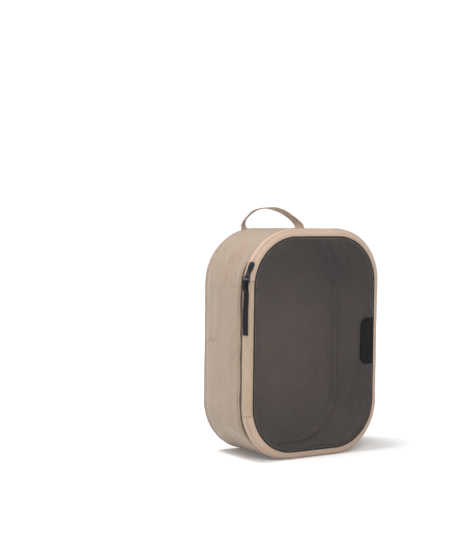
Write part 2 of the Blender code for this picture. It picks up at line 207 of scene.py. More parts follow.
def see_through(name, colour):
    """Smoke-grey netting: small round holes between knitted threads."""
    s = Shader(name, roughness=0.42, specular=0.3)
    u, v = s.uv()
    pitch = 0.9 * MM
    holes = s.math("MULTIPLY", s.wave(s.math("ADD", u, v), pitch), s.wave(s.math("SUBTRACT", u, v), pitch))
    soft = s.node("MapRange", holes, 0.18, 0.55, 1.0, 0.0)
    cloud = s.noise(s.place(), 30.0, 3.0)
    threads = s.math("MULTIPLY_ADD", soft.outputs[0], 0.26, 0.08)
    s.set("Alpha", s.math("ADD", threads, s.math("MULTIPLY", cloud, 0.10)))
    s.set("Base Color", s.blend(cloud, shade(colour, 0.85), shade(colour, 1.2)))
    s.set("Roughness", s.math("MULTIPLY_ADD", cloud, 0.2, 0.34))
    s.set("Normal", s.bump(soft.outputs[0], 0.12 * MM, 0.35, s.bump(cloud, 1.0 * MM, 0.25)))
    return s.done()


def rubber(name, colour, roughness):
    s = Shader(name, roughness=roughness, specular=0.12)
    grain = s.noise(s.place(), 2600.0, 2.0)
    cloud = s.noise(s.place(), 90.0, 3.0)
    s.set("Base Color", s.blend(cloud, shade(colour, 0.8), shade(colour, 1.35)))
    s.set("Roughness", s.math("MULTIPLY_ADD", cloud, 0.18, roughness - 0.08))
    s.set("Normal", s.bump(grain, 0.07 * MM, 0.5))
    return s.done()


def gunmetal(name):
    s = Shader(name, roughness=0.35, metallic=0.85)
    cloud = s.noise(s.place(), 260.0, 4.0)
    s.set("Base Color", s.blend(cloud, (0.028, 0.029, 0.034), (0.060, 0.061, 0.070)))
    s.set("Roughness", s.math("MULTIPLY_ADD", cloud, 0.2, 0.26))
    s.set("Normal", s.bump(s.noise(s.place(), 1500.0, 2.0), 0.03 * MM, 0.3))
    return s.done()


def plain(name, colour, roughness, grain, depth):
    s = Shader(name, roughness=roughness, sheen=0.1, specular=0.3)
    fine = s.noise(s.place(), grain, 3.0)
    s.set("Base Color", s.blend(fine, shade(colour, 0.82), shade(colour, 1.15)))
    s.set("Roughness", s.math("MULTIPLY_ADD", fine, 0.15, roughness - 0.07))
    s.set("Normal", s.bump(fine, depth, 0.5))
    return s.done()


BEIGE = (0.284, 0.211, 0.155)
PINKISH = (0.445, 0.325, 0.246)
cloth = ripstop("ripstop_nylon", BEIGE)
# Painted light: the hinge strip is the side panel's beige nylon made about a quarter lighter.
strip_cloth_painted_lighter = ripstop("hinge_nylon_painted_lighter", (0.348, 0.262, 0.180))
tape = ribbed("zip_tape_weave", PINKISH, 1.15 * MM, True, 0.16 * MM, cross=0.7 * MM)
edging = ribbed("rear_edging_weave", (0.300, 0.220, 0.163), 1.0 * MM, False, 0.16 * MM, cross=1.3 * MM)
webbing = ribbed("webbing_weave", (0.385, 0.285, 0.218), 1.05 * MM, True, 0.22 * MM, cross=1.5 * MM)
lining = ribbed("seam_cloth", (0.27, 0.20, 0.152), 1.1 * MM, True, 0.15 * MM)
allowance = ribbed("window_seam_cloth", (0.12, 0.092, 0.075), 1.1 * MM, True, 0.15 * MM)
binding = ribbed("black_binding_weave", (0.016, 0.015, 0.016), 0.9 * MM, False, 0.14 * MM, 0.75, 0.0, 1.0 * MM)
# Dark brown for the sheet deep in the hinge crease: painted shade for the shadowed gap.
crease_shade_brown = ribbed("crease_shade_cloth", (0.105, 0.060, 0.032), 1.0 * MM, False, 0.15 * MM)
netting = see_through("smoke_netting", (0.042, 0.040, 0.046))
patch_rubber = rubber("patch_rubber", (0.006, 0.006, 0.008), 0.62)
strap_rubber = rubber("strap_rubber", (0.009, 0.009, 0.012), 0.55)
metal = gunmetal("gunmetal_finish")
coil_nylon = plain("coil_nylon", (0.30, 0.225, 0.165), 0.42, 800.0, 0.05 * MM)
beige_thread = plain("beige_thread", (0.45, 0.345, 0.265), 0.8, 2500.0, 0.05 * MM)
seam_thread = plain("seam_thread", (0.21, 0.165, 0.135), 0.8, 2500.0, 0.05 * MM)
dark_thread = plain("dark_thread", (0.035, 0.034, 0.036), 0.75, 2500.0, 0.05 * MM)

# ---------------------------------------------------------------- mesh helpers


def filled_out(places):
    """Points moved as stuffed cloth moves: three corners a little squarer, the rear of the top sunk."""
    for (across, up), tight in zip(CENTRES, TIGHT):
        x, z = places[:, 0] - across, places[:, 2] - up
        inside = (x * math.copysign(1, across) > 0) & (z * math.copysign(1, up - HEIGHT / 2) > 0)
        reach = np.maximum(np.hypot(x, z), 1e-6)
        one, two = np.abs(x) / reach, np.abs(z) / reach
        both, gap = one + two, RADIUS - tight
        outline = gap * both + np.sqrt(tight**2 - 2 * gap**2 + (gap * both) ** 2)
        high, low = np.maximum(one, two), np.minimum(one, two)
        outline = np.where(low * RADIUS <= gap * high, RADIUS / np.maximum(high, 0.5), outline)
        grow = np.where(inside, (outline / RADIUS - 1) * np.minimum(1, reach / RADIUS) ** 2, 0)
        places[:, 0] += x * grow
        places[:, 2] += z * grow
    behind = np.clip((places[:, 1] - FRONT - 12 * MM) / (DEPTH - 12 * MM), 0, 1)
    above = np.clip((places[:, 2] - 0.72 * HEIGHT) / (0.25 * HEIGHT), 0, 1)
    places[:, 2] -= SINK * behind * (3 * above**2 - 2 * above**3)
    return places


def placed(name, data):
    """A new object in the scene that holds the data."""
    made = bpy.data.objects.new(name, data)
    bpy.context.scene.collection.objects.link(made)
    return made


def meshed(name, points, faces):
    mesh = bpy.data.meshes.new(name)
    mesh.from_pydata([tuple(point) for point in points], [], faces)
    return mesh


def skin(rows, size, base=0):
    """Quads between closed rings of points, one ring after another, and a cap at either end."""
    faces = []
    for r in range(rows - 1):
        here, ahead = base + r * size, base + (r + 1) * size
        for c in range(size):
            d = (c + 1) % size
            faces.append((here + c, here + d, ahead + d, ahead + c))
    last = base + (rows - 1) * size
    return faces + [tuple(range(base, base + size))[::-1], tuple(range(last, last + size))]


def link(name, mesh, material, body, slot=None, replaces=(), smooth=True):
    """The mesh as a piece of the scene, moved as the stuffed cloth moves, on its body."""
    made = placed(name, mesh)
    mesh.materials.clear()
    mesh.materials.append(material)
    if smooth:
        mesh.shade_smooth()
    places = np.empty(3 * len(mesh.vertices), np.float32)
    mesh.vertices.foreach_get("co", places)
    standing = places[2::3].min() < 0.1 * MM
    places = filled_out(places.reshape(-1, 3))
    if standing:
        places[:, 2] = np.maximum(places[:, 2], 0.0)
    mesh.vertices.foreach_set("co", places.ravel())
    mesh.update()
    if body:
        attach(made, body)
    if replaces:
        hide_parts(*replaces)
    return made


def grid(name, points, normals, us, vs, thickness, closed=False):
    """A sheet from rows of points, with cloth coordinates in metres, thickened inward."""
    rows, columns = points.shape[:2]
    total = rows if closed else rows - 1
    faces, loops = [], []
    for r in range(total):
        n = (r + 1) % rows
        for c in range(columns - 1):
            faces.append((r * columns + c, r * columns + c + 1, n * columns + c + 1, n * columns + c))
            if us.ndim == 1:
                far = us[r + 1] if r + 1 < len(us) else us[n]
                loops += [(us[r], vs[c]), (us[r], vs[c + 1]), (far, vs[c + 1]), (far, vs[c])]
            else:
                loops += [(us[r, c], vs[r, c]), (us[r, c + 1], vs[r, c + 1]), (us[n, c + 1], vs[n, c + 1]),
                          (us[n, c], vs[n, c])]
    flat = points.reshape(-1, 3)
    mid = (rows // 3) * columns + columns // 2
    a, b, d = flat[mid], flat[mid + 1], flat[mid + columns]
    facing = np.dot(np.cross(b - a, d - a), normals.reshape(-1, 3)[mid])
    if facing < 0:
        faces = [f[::-1] for f in faces]
        loops = [loops[4 * k + j] for k in range(len(faces)) for j in (3, 2, 1, 0)]
    mesh = meshed(name, flat, faces)
    layer = mesh.uv_layers.new(name="cloth")
    layer.data.foreach_set("uv", np.array(loops, np.float32).ravel())
    return thicken(mesh, thickness) if thickness else mesh


def baked(holder):
    """The holder's mesh with its modifiers applied; the holder goes."""
    graph = bpy.context.evaluated_depsgraph_get()
    mesh = bpy.data.meshes.new_from_object(holder.evaluated_get(graph))
    mesh.name = holder.name
    bpy.data.objects.remove(holder)
    return mesh


def thicken(mesh, thickness):
    """The sheet given its thickness, behind its outer face."""
    holder = placed(mesh.name + "_raw", mesh)
    solid = holder.modifiers.new("thick", "SOLIDIFY")
    solid.thickness = thickness
    solid.offset = -1
    solid.use_even_offset = True
    return baked(holder)


def settled(mesh, held, slack, push, cap, steps=16, stiff=0.6):
    """The sheet after a short cloth simulation, held at its seams and pushed out; no point moves beyond cap."""
    holder = placed(mesh.name + "_raw", mesh)
    group = holder.vertex_groups.new(name="seams")
    for weight in sorted(set(held)):
        group.add([k for k, w in enumerate(held) if w == weight], weight, "REPLACE")
    before = np.empty(3 * len(mesh.vertices), np.float32)
    mesh.vertices.foreach_get("co", before)
    cloth_mod = holder.modifiers.new("cloth", "CLOTH")
    own = cloth_mod.settings
    own.vertex_group_mass = "seams"
    own.quality = 6
    own.mass = 0.12
    own.tension_stiffness = own.compression_stiffness = 12
    own.shear_stiffness = 4
    own.bending_stiffness = stiff
    own.shrink_min = -slack
    own.use_pressure = True
    own.uniform_pressure_force = push
    own.effector_weights.gravity = 0.0
    cloth_mod.point_cache.frame_start, cloth_mod.point_cache.frame_end = 1, steps
    scene = bpy.context.scene
    for step in range(1, steps + 1):
        scene.frame_set(step)
    graph = bpy.context.evaluated_depsgraph_get()
    after_mesh = bpy.data.meshes.new_from_object(holder.evaluated_get(graph))
    after = np.empty_like(before)
    after_mesh.vertices.foreach_get("co", after)
    scene.frame_set(1)
    bpy.data.objects.remove(holder)
    before, after = before.reshape(-1, 3), after.reshape(-1, 3)
    move = after - before
    far = np.linalg.norm(move, axis=1, keepdims=True)
    move *= cap * np.tanh(far / cap) / np.maximum(far, 1e-9)
    after_mesh.vertices.foreach_set("co", (before + move).ravel())
    after_mesh.name = mesh.name
    return after_mesh


def frames(start, end, spacing=SPACING, closed=False):
    """Places along the outline between two turn angles: corner x, corner z, turn, distance travelled."""
    places, travelled = [], RADIUS * math.radians(start)
    for quarter in range(math.floor(start / 90), math.ceil(end / 90)):
        low, high = max(start, 90 * quarter), min(end, 90 * (quarter + 1))
        x, z = CENTRES[quarter % 4]
        count = max(2, math.ceil(RADIUS * math.radians(high - low) / spacing))
        for k in range(count + 1):
            turn = math.radians(low + (high - low) * k / count)
            places.append((x, z, turn, travelled + RADIUS * (turn - math.radians(low))))
        travelled = places[-1][3]
        if high == 90 * (quarter + 1) and (high < end or closed):
            x2, z2 = CENTRES[(quarter + 1) % 4]
            length = math.hypot(x2 - x, z2 - z)
            count = max(2, math.ceil(length / spacing))
            for k in range(1, count):
                share = k / count
                places.append((x + (x2 - x) * share, z + (z2 - z) * share, math.radians(high),
                               travelled + length * share))
            travelled += length
    if closed:
        return np.array(places), travelled
    return np.array(places), None


def band_profile(distances, lift=0.0):
    """(inset, y, out, forward) along the front band from its crease."""
    out = []
    for s in distances:
        turn = max(0.0, (s - FLAT) / EDGE)
        if turn == 0:
            out.append((-lift, CREASE - s, 1.0, 0.0))
        elif turn <= math.pi / 2:
            reach = EDGE + lift
            out.append((EDGE - reach * math.cos(turn), CREASE - FLAT - reach * math.sin(turn), math.cos(turn),
                        -math.sin(turn)))
        else:
            out.append((EDGE + (s - BAND), FRONT - lift, 0.0, -1.0))
    return np.array(out)


def rear_profile(distances, lift=0.0):
    """The same round the rear edge, from the side panel to the back."""
    out = []
    side = REAR_BAND - REAR_ROUND
    for s in distances:
        turn = max(0.0, (s - side) / REAR_ROUND)
        if turn == 0:
            out.append((-lift, REAR - REAR_BAND + s, 1.0, 0.0))
        elif turn <= math.pi / 2:
            reach = REAR_ROUND + lift
            out.append((REAR_ROUND - reach * math.cos(turn), REAR - REAR_ROUND + reach * math.sin(turn),
                        math.cos(turn), math.sin(turn)))
        else:
            out.append((REAR_ROUND + (s - side - REAR_ROUND * math.pi / 2), REAR + lift, 0.0, 1.0))
    return np.array(out)


def carry(places, profile, raised=None):
    """Points and normals of a profile carried along the outline, raised by a distance at each point."""
    raised = np.zeros((len(places), len(profile))) if raised is None else raised
    inset = profile[None, :, 0] - raised * profile[None, :, 2]
    y = profile[None, :, 1] + raised * profile[None, :, 3]
    cos, sin = np.cos(places[:, 2])[:, None], np.sin(places[:, 2])[:, None]
    reach = RADIUS - inset
    points = np.stack([places[:, 0][:, None] - reach * cos, y, places[:, 1][:, None] + reach * sin], -1)
    out, ahead = profile[None, :, 2], profile[None, :, 3] + 0 * reach
    normals = np.stack([-cos * out, ahead, sin * out], -1)
    return points, normals


def ring(name, profile, vs, thickness, material, body, start=0.0, end=360.0, raised=None, spacing=SPACING, **more):
    """A band of cloth carried along the outline, whole or in part."""
    closed = end - start >= 360
    places, around = frames(start, end, spacing, closed)
    lifts = raised(places, profile) if raised else None
    points, normals = carry(places, profile, lifts)
    us = np.append(places[:, 3], around) if closed else places[:, 3]
    mesh = grid(name, points, normals, us, np.array(vs), thickness, closed)
    return link(name, mesh, material, body, **more)


def fbm(point, scale, octaves=3):
    total, weight, size = 0.0, 1.0, 0.0
    for k in range(octaves):
        total += weight * noise.noise(point * scale * 2**k)
        size += weight
        weight *= 0.5
    return total / size


def smooth(value, low, high):
    share = min(1.0, max(0.0, (value - low) / (high - low)))
    return share * share * (3 - 2 * share)


def threads(name, points, normals, pitch, length, radius, material, body, **more):
    """Stitches: short rounded threads laid end to end along a line of points."""
    points, normals = np.array(points), np.array(normals)
    steps = np.linalg.norm(np.diff(points, axis=0), axis=1)
    reached = np.concatenate([[0], np.cumsum(steps)])
    count = int(reached[-1] / pitch)
    verts, faces = [], []
    for k in range(count):
        middle = (k + 0.5) * pitch
        here = np.array([np.interp(middle, reached, points[:, i]) for i in range(3)])
        ahead = np.array([np.interp(middle + 0.3 * MM, reached, points[:, i]) for i in range(3)])
        up = np.array([np.interp(middle, reached, normals[:, i]) for i in range(3)])
        along = ahead - here
        size = np.linalg.norm(along)
        if size < 1e-9:
            continue
        along /= size
        up /= np.linalg.norm(up)
        side = np.cross(along, up)
        base = len(verts)
        for shift, share in ((-0.5, 0.35), (-0.3, 0.95), (0.3, 0.95), (0.5, 0.35)):
            for c in range(6):
                turn = math.pi * c / 3
                drop = -0.6 * radius if abs(shift) == 0.5 else 0.0
                verts.append(here + along * length * shift + (side * math.cos(turn) + up * math.sin(turn))
                             * radius * share + up * drop)
        faces += skin(4, 6, base)
    return link(name, meshed(name, verts, faces), material, body, **more)


def seam_line(profile_point, start, end, lift, spacing=2 * MM):
    """Points and normals of one line along the outline, for stitches."""
    places, _ = frames(start, end, spacing, end - start >= 360)
    raised = np.full((len(places), 1), lift)
    points, normals = carry(places, np.array([profile_point]), raised)
    return points[:, 0], normals[:, 0]


def tube(name, path, radius, sides, material, body, **more):
    """A round cord through a list of points."""
    path = np.array(path)
    ahead = np.gradient(path, axis=0)
    ahead /= np.linalg.norm(ahead, axis=1)[:, None]
    verts = []
    side = np.cross(ahead[0], (0.31, 0.77, 0.55))
    side /= np.linalg.norm(side)
    for here, along in zip(path, ahead):
        side = side - along * np.dot(side, along)
        side /= np.linalg.norm(side)
        other = np.cross(along, side)
        for c in range(sides):
            turn = 2 * math.pi * c / sides
            verts.append(here + (side * math.cos(turn) + other * math.sin(turn)) * radius)
    return link(name, meshed(name, verts, skin(len(path), sides)), material, body, **more)


# ---------------------------------------------------------------- walls


def hinge_side(turn):
    """1 along the hinge on the left, fading to 0 past the slider and past the strip's lower end."""
    degrees = math.degrees(turn)
    degrees -= 360 if degrees > 180 else 0
    return smooth(degrees, -48, -26) * (1 - smooth(degrees, 15, 29))


def gusset_lift(places, profile):
    """How far the side panel stands proud: filled out between its seams, with folds and puckers."""
    lifts = np.zeros((len(places), len(profile)))
    first, last = profile[0, 1], profile[-1, 1]
    for r, (x, z, turn, u) in enumerate(places):
        down = max(0.0, -math.sin(turn))
        left = max(0.0, math.cos(turn))
        corner = math.sin(2 * turn) ** 2
        hinge = hinge_side(turn)
        upper = corner * smooth(math.sin(turn), 0.05, 0.5)
        for c, (inset, y, out, ahead) in enumerate(profile):
            share = (y - first) / (last - first)
            belly = math.sin(math.pi * share)
            slow = fbm(Vector((u * 0.8, y * 1.3, 1.7)), 26.0)
            run = noise.noise(Vector((u * 14.0, y * 9.0, 31.0))) * 7 * MM
            long_fold = 1 - abs(noise.noise(Vector((u * 7.0, (y + run) * 62.0, 4.1)))) * 2.6
            fine_fold = 1 - abs(noise.noise(Vector((u * 16.0, (y + run) * 120.0, 9.1)))) * 2.6
            cross = 1 - abs(noise.noise(Vector((u * 52.0 + y * 30.0, y * 16.0, 14.1)))) * 2.4
            near = 1 - smooth(share, 0.0, 0.22)
            far = 1 - smooth(1 - share, 0.0, 0.16)
            pucker = noise.noise(Vector((u * 115.0, y * 22.0, 0.5)))
            top = smooth(math.sin(turn), 0.75, 1.0)
            height = (1.5 * (1 - down) * (0.5 + 0.5 * left) * (1 - top) - 1.3 * top) * MM * belly
            height += 1.6 * MM * slow * belly
            height += (0.45 + 1.75 * upper) * MM * (long_fold - 0.45) * belly**0.6
            height += (0.08 + 0.30 * upper) * MM * (fine_fold - 0.4) * belly**0.5
            height += 0.10 * MM * (cross - 0.4) * belly**0.5 * (1 - 0.5 * upper)
            height += 0.38 * MM * pucker * (near + 0.8 * far) * min(1.0, 12 * share) * min(1.0, 12 * (1 - share))
            edge = (y - first) / MM
            roll = math.exp(-(((edge - 1.0) / 1.3) ** 2)) * (0.9 + 0.5 * noise.noise(Vector((u * 48.0, 2.0, 2.0))))
            over = 0.5 * MM * (1 - smooth(edge, 0.5, 3.0)) * (1 - 0.8 * down**4)
            lifts[r, c] = height * (1 - 0.9 * down**4) - 0.25 * MM * belly * down + roll * hinge * MM + over
    return lifts


def wall(low, high, count):
    spread = np.linspace(0, 1, count)
    ys = low + (high - low) * (0.55 * spread + 0.45 * spread**1.8)
    return np.array([(0.0, y, 1.0, 0.0) for y in ys]), ys - low


def build_walls():
    """Side panel with its front edge folded under, and the rear edging."""
    profile, vs = wall(CREASE - 0.6 * MM, REAR - REAR_BAND + 0.5 * MM, 40)
    tucked = [(3.0 * MM, CREASE + 1.8 * MM, 0.2, -0.9), (1.6 * MM, CREASE + 0.2 * MM, 0.3, -0.9),
              (0.4 * MM, CREASE - 0.65 * MM, 0.7, -0.7)]
    profile = np.vstack([np.array(tucked), profile])
    vs = np.concatenate([[-4.4 * MM, -2.4 * MM, -0.7 * MM], vs])

    def lift(places, shape):
        lifts = np.zeros((len(places), len(shape)))
        lifts[:, 3:] = gusset_lift(places, shape[3:])
        lifts[:, 2] = lifts[:, 3] * 0.5
        return lifts
    places, around = frames(0, 360, 2.2 * MM, True)
    points, normals = carry(places, profile, lift(places, profile))
    raw = grid("gusset_cloth", points, normals, np.append(places[:, 3], around), np.array(vs), 0, True)
    held = []
    for x, z, turn, u in places:
        low = smooth(-math.sin(turn), 0.7, 0.95)
        held += [1.0] * 6 + [round(low, 1)] * (len(profile) - 8) + [1.0] * 2
    raw = settled(raw, held, 0.035, 2.0, 0.9 * MM)
    gusset = link("gusset_cloth", thicken(raw, CLOTH_THICK), cloth, "cube", slot="beige_nylon",
                  replaces=["side_gusset"])
    co = np.empty(3 * len(gusset.data.vertices), np.float32)
    gusset.data.vertices.foreach_get("co", co)
    co = co.reshape(-1, 3)
    for k, (x, y, z) in enumerate(co):
        if x < -WIDTH / 2 + RADIUS and y < CREASE + 9 * MM:
            turn = math.atan2(z - min(max(z, RADIUS), HEIGHT - RADIUS), -(x + WIDTH / 2 - RADIUS))
            wave = 1.0 + 0.35 * noise.noise(Vector((z * 55.0, x * 55.0, 3.0)))
            co[k, 1] = y + 4.8 * MM * wave * hinge_side(turn) * (1 - smooth(y, CREASE + 1.5 * MM, CREASE + 9 * MM))
    gusset.data.vertices.foreach_set("co", co.ravel())
    # A dark sheet set deep in the crease along the hinge: painted shade standing in for the shadow in the gap.
    crease = np.array([(2.0 * MM, CREASE + 6.0 * MM, 1, 0), (1.3 * MM, CREASE + 3.6 * MM, 1, 0),
                       (1.0 * MM, CREASE + 1.4 * MM, 1, 0), (1.2 * MM, CREASE + 0.2 * MM, 1, 0)])
    ring("crease_shade_sheet", crease, [0, 1.8 * MM, 3.2 * MM, 4.2 * MM], 0.4 * MM, crease_shade_brown, "cube", -42, 25,
         slot="seam_lining")

    side = REAR_BAND - REAR_ROUND
    distances = np.concatenate([np.linspace(0, side, 5),
                                np.linspace(side, side + REAR_ROUND * math.pi / 2, 9)[1:],
                                [REAR_BAND + 5.2 * MM, REAR_BAND + 6.4 * MM]])

    def edging_lift(places, shape):
        lifts = np.zeros((len(places), len(shape)))
        for r, (x, z, turn, u) in enumerate(places):
            under = smooth(-math.sin(turn), 0.9, 1.0)
            for c, s in enumerate(distances):
                round_over = 0.75 * math.sin(math.pi * min(1.0, s / (14.6 * MM)))
                ripple = 0.22 * noise.noise(Vector((u * 70.0, s * 160.0, 7.7)))
                ends = -0.7 if c in (0, len(distances) - 1) else 0.0
                lifts[r, c] = (0.25 + round_over * 0.5 + ripple + ends) * MM * (1 - under)
        return lifts
    rim = ring("rear_edging", rear_profile(distances), distances, 0.8 * MM, edging, "cube",
               raised=edging_lift, slot="zip_tape_beige", replaces=["rear_binding"])
    for name, at in (("rear_edging_stitches_side", 1.4 * MM), ("rear_edging_stitches_back", 13.6 * MM)):
        points, normals = seam_line(tuple(rear_profile([at])[0]), 0, 360, 0.55 * MM)
        threads(name, points, normals, 3.2 * MM, 2.5 * MM, 0.16 * MM, beige_thread, "cube", slot="zip_tape_beige")
    return gusset


def panel(inset, rows_corner, rows_side, columns):
    """Grid over the rounded outline at an inset: x and z of each point."""
    reach = RADIUS - inset
    half_x, half_z = WIDTH / 2 - RADIUS, HEIGHT / 2 - RADIUS
    heights, widths = [], []
    for k in range(rows_corner + 1):
        turn = -math.pi / 2 + math.pi / 2 * k / rows_corner
        heights.append(-half_z + reach * math.sin(turn))
        widths.append(half_x + reach * math.cos(turn))
    for k in range(1, rows_side):
        heights.append(-half_z + 2 * half_z * k / rows_side)
        widths.append(half_x + reach)
    heights += [-h for h in reversed(heights[:rows_corner + 1])]
    widths += list(reversed(widths[:rows_corner + 1]))
    across = np.sin(np.linspace(-1, 1, columns) * math.pi / 2 * 0.96) / math.sin(math.pi / 2 * 0.96)
    x = np.array(widths)[:, None] * across[None, :]
    z = np.array(heights)[:, None] + 0 * x
    return x, z + HEIGHT / 2


def edge_share(x, z, inset):
    """Distance in metres from each point to the outline at an inset."""
    dx = np.abs(x) - (WIDTH / 2 - RADIUS)
    dz = np.abs(z - HEIGHT / 2) - (HEIGHT / 2 - RADIUS)
    outside = np.hypot(np.maximum(dx, 0), np.maximum(dz, 0))
    inside = np.minimum(np.maximum(dx, dz), 0)
    return (RADIUS - inset) - (outside + inside)


def sheet_panel(name, inset, depth, thickness, material, body, facing, **more):
    """A cloth panel over the outline, bowed and rippled by a depth function of x, z and edge distance."""
    x, z = panel(inset, 26, 44, PANEL_COLUMNS)
    away = edge_share(x, z, inset)
    y = np.zeros_like(x)
    for r in range(x.shape[0]):
        for c in range(x.shape[1]):
            y[r, c] = depth(x[r, c], z[r, c], max(0.0, away[r, c]))
    points = np.stack([x, y, z], -1)
    normals = np.zeros_like(points)
    normals[..., 1] = facing
    mesh = grid(name, points, normals, x, z, thickness)
    return link(name, mesh, material, body, **more)


def back_depth(x, z, away):
    pillow = smooth(away, 0.0, 0.055)
    ripple = 1.3 * fbm(Vector((x, z * 0.8, 3.3)), 24.0) + 0.35 * fbm(Vector((x, z, 8.8)), 75.0)
    radial = 0.28 * noise.noise(Vector((x * 95.0, z * 95.0, 1.0))) * (1 - smooth(away, 0.004, 0.022))
    return REAR - 0.3 * MM + (1.2 * pillow + ripple * (0.2 + 0.8 * pillow) + radial) * MM * smooth(away, 0.0, 0.006)


def mesh_depth(x, z, away):
    bow = 1 - (1 - min(1.0, away / 0.075)) ** 2
    ripple = 1.1 * fbm(Vector((x * 1.2, z * 0.5, 5.5)), 22.0) + 0.30 * fbm(Vector((x, z * 0.7, 2.2)), 60.0)
    pull = 0.35 * noise.noise(Vector((x * 60.0, z * 60.0, 6.0))) * (1 - smooth(away, 0.006, 0.03))
    return FRONT - (3.4 * bow + (ripple + pull) * smooth(away, 0.0, 0.012)) * MM


# ---------------------------------------------------------------- zip and lid

GROOVE = 0.16 * MM


def tape_lift(edge_low, edge_high):
    """Zip tape: a low swell beside the teeth and a slight ripple along its length."""
    def lift(places, shape):
        lifts = np.zeros((len(places), len(shape)))
        spread = np.linspace(edge_low, edge_high, len(shape))
        for r, (x, z, turn, u) in enumerate(places):
            under = smooth(-math.sin(turn), 0.9, 1.0)
            for c, s in enumerate(spread):
                near = math.exp(-(((s - MIDDLE) / (2.2 * MM)) ** 2))
                ripple = 0.16 * noise.noise(Vector((u * 55.0, s * 120.0, 2.0)))
                lifts[r, c] = (0.35 * near + ripple * (1 - under)) * MM
        return lifts
    return lift


def coil(name, side, start, end, body, replaces):
    """One half of the coil: a thin filament wound along the edge of its tape."""
    pitch = 1.35 * MM
    places, _ = frames(start, end, 1.5 * MM)
    length = places[-1, 3] - places[0, 3]
    count = int(length / pitch)
    per = 8
    path = []
    for k in range(count * per + 1):
        u = places[0, 3] + k / per * pitch
        x, z, turn = (np.interp(u, places[:, 3], places[:, i]) for i in range(3))
        around = 2 * math.pi * k / per
        s = MIDDLE + side * (1.15 + 0.85 * math.cos(around)) * MM
        lift = (-1.75 + 0.6 * math.sin(around)) * MM
        inset, y, out, ahead = band_profile([s], lift)[0]
        reach = RADIUS - inset
        path.append((x - reach * math.cos(turn), y, z + reach * math.sin(turn)))
    return tube(name, path, 0.27 * MM, 5, coil_nylon, body, slot="zip_coil_beige", replaces=replaces)


def ridges(name, at, start, end, pitch, length, radius, material, body):
    """Low ridges across the tape where the teeth behind it press through."""
    places, _ = frames(start, end, 1.5 * MM)
    count = int((places[-1, 3] - places[0, 3]) / pitch)
    verts, faces = [], []
    for k in range(count):
        middle = places[0, 3] + (k + 0.5) * pitch
        base = len(verts)
        for share in (-0.5, -0.3, 0.3, 0.5):
            s = at + length * share
            sunk = 0.75 * radius if abs(share) == 0.5 else 0.30 * radius
            for c in range(5):
                turned = math.pi * c / 4
                u = middle + radius * math.cos(turned) * (0.6 if abs(share) == 0.5 else 1.0)
                x, z, turn = (np.interp(u, places[:, 3], places[:, i]) for i in range(3))
                inset, y, out, ahead = band_profile([s], 0.35 * MM - sunk + radius * math.sin(turned))[0]
                reach = RADIUS - inset
                verts.append((x - reach * math.cos(turn), y, z + reach * math.sin(turn)))
        faces += skin(4, 5, base)
    mesh = meshed(name, verts, faces)
    mesh.uv_layers.new(name="cloth")
    link(name, mesh, material, body, slot="zip_tape_beige")


def build_zip():
    zip_start, zip_end = STRIP_TOP + SEAM_GAP, 360 + STRIP_BOTTOM - SEAM_GAP
    outer = np.concatenate([[-1.6 * MM, -0.3 * MM], np.linspace(0.5 * MM, MIDDLE - GROOVE, 12)])
    profile = band_profile(np.maximum(outer, 0.0))
    profile[0, 0], profile[0, 1] = 1.6 * MM, CREASE + 1.2 * MM
    profile[1, 0], profile[1, 1] = 0.45 * MM, CREASE + 0.1 * MM
    ring("zip_tape_outer_cloth", profile, outer, TAPE_THICK, tape, "cube", zip_start, zip_end,
         tape_lift(0, MIDDLE), slot="zip_tape_beige", replaces=["zip_tape_outer", "zip_tape_outer_start"])
    inner = np.concatenate([np.linspace(MIDDLE + GROOVE, BAND, 12), [BAND + 1.5 * MM]])
    profile = band_profile(inner)
    profile[-1, 1] += 0.5 * MM
    ring("zip_tape_inner_cloth", profile, inner, TAPE_THICK, tape, "lid", zip_start, zip_end,
         tape_lift(MIDDLE, BAND), slot="zip_tape_beige", replaces=["zip_tape_inner"])
    coil("zip_coil_outer_turns", -1, zip_start + 1, zip_end - 2, "cube", ["zip_coil_outer"])
    coil("zip_coil_inner_turns", 1, zip_start + 1, zip_end - 2, "lid", ["zip_coil_inner"])
    for name, side, body in (("zip_ridges_outer", -1, "cube"), ("zip_ridges_inner", 1, "lid")):
        at = MIDDLE + side * 1.15 * MM
        ridges(name, at, zip_start + 1, zip_end - 1, 1.55 * MM, 1.5 * MM, 0.2 * MM, tape, body)
    for name, at, body in (("zip_stitches_outer", 1.6 * MM, "cube"), ("zip_stitches_inner", BAND - 1.3 * MM, "lid")):
        points, normals = seam_line(tuple(band_profile([at])[0]), zip_start + 0.5, zip_end - 0.5, 0.12 * MM)
        threads(name, points, normals, 3.0 * MM, 2.3 * MM, 0.15 * MM, beige_thread, body, slot="zip_tape_beige")


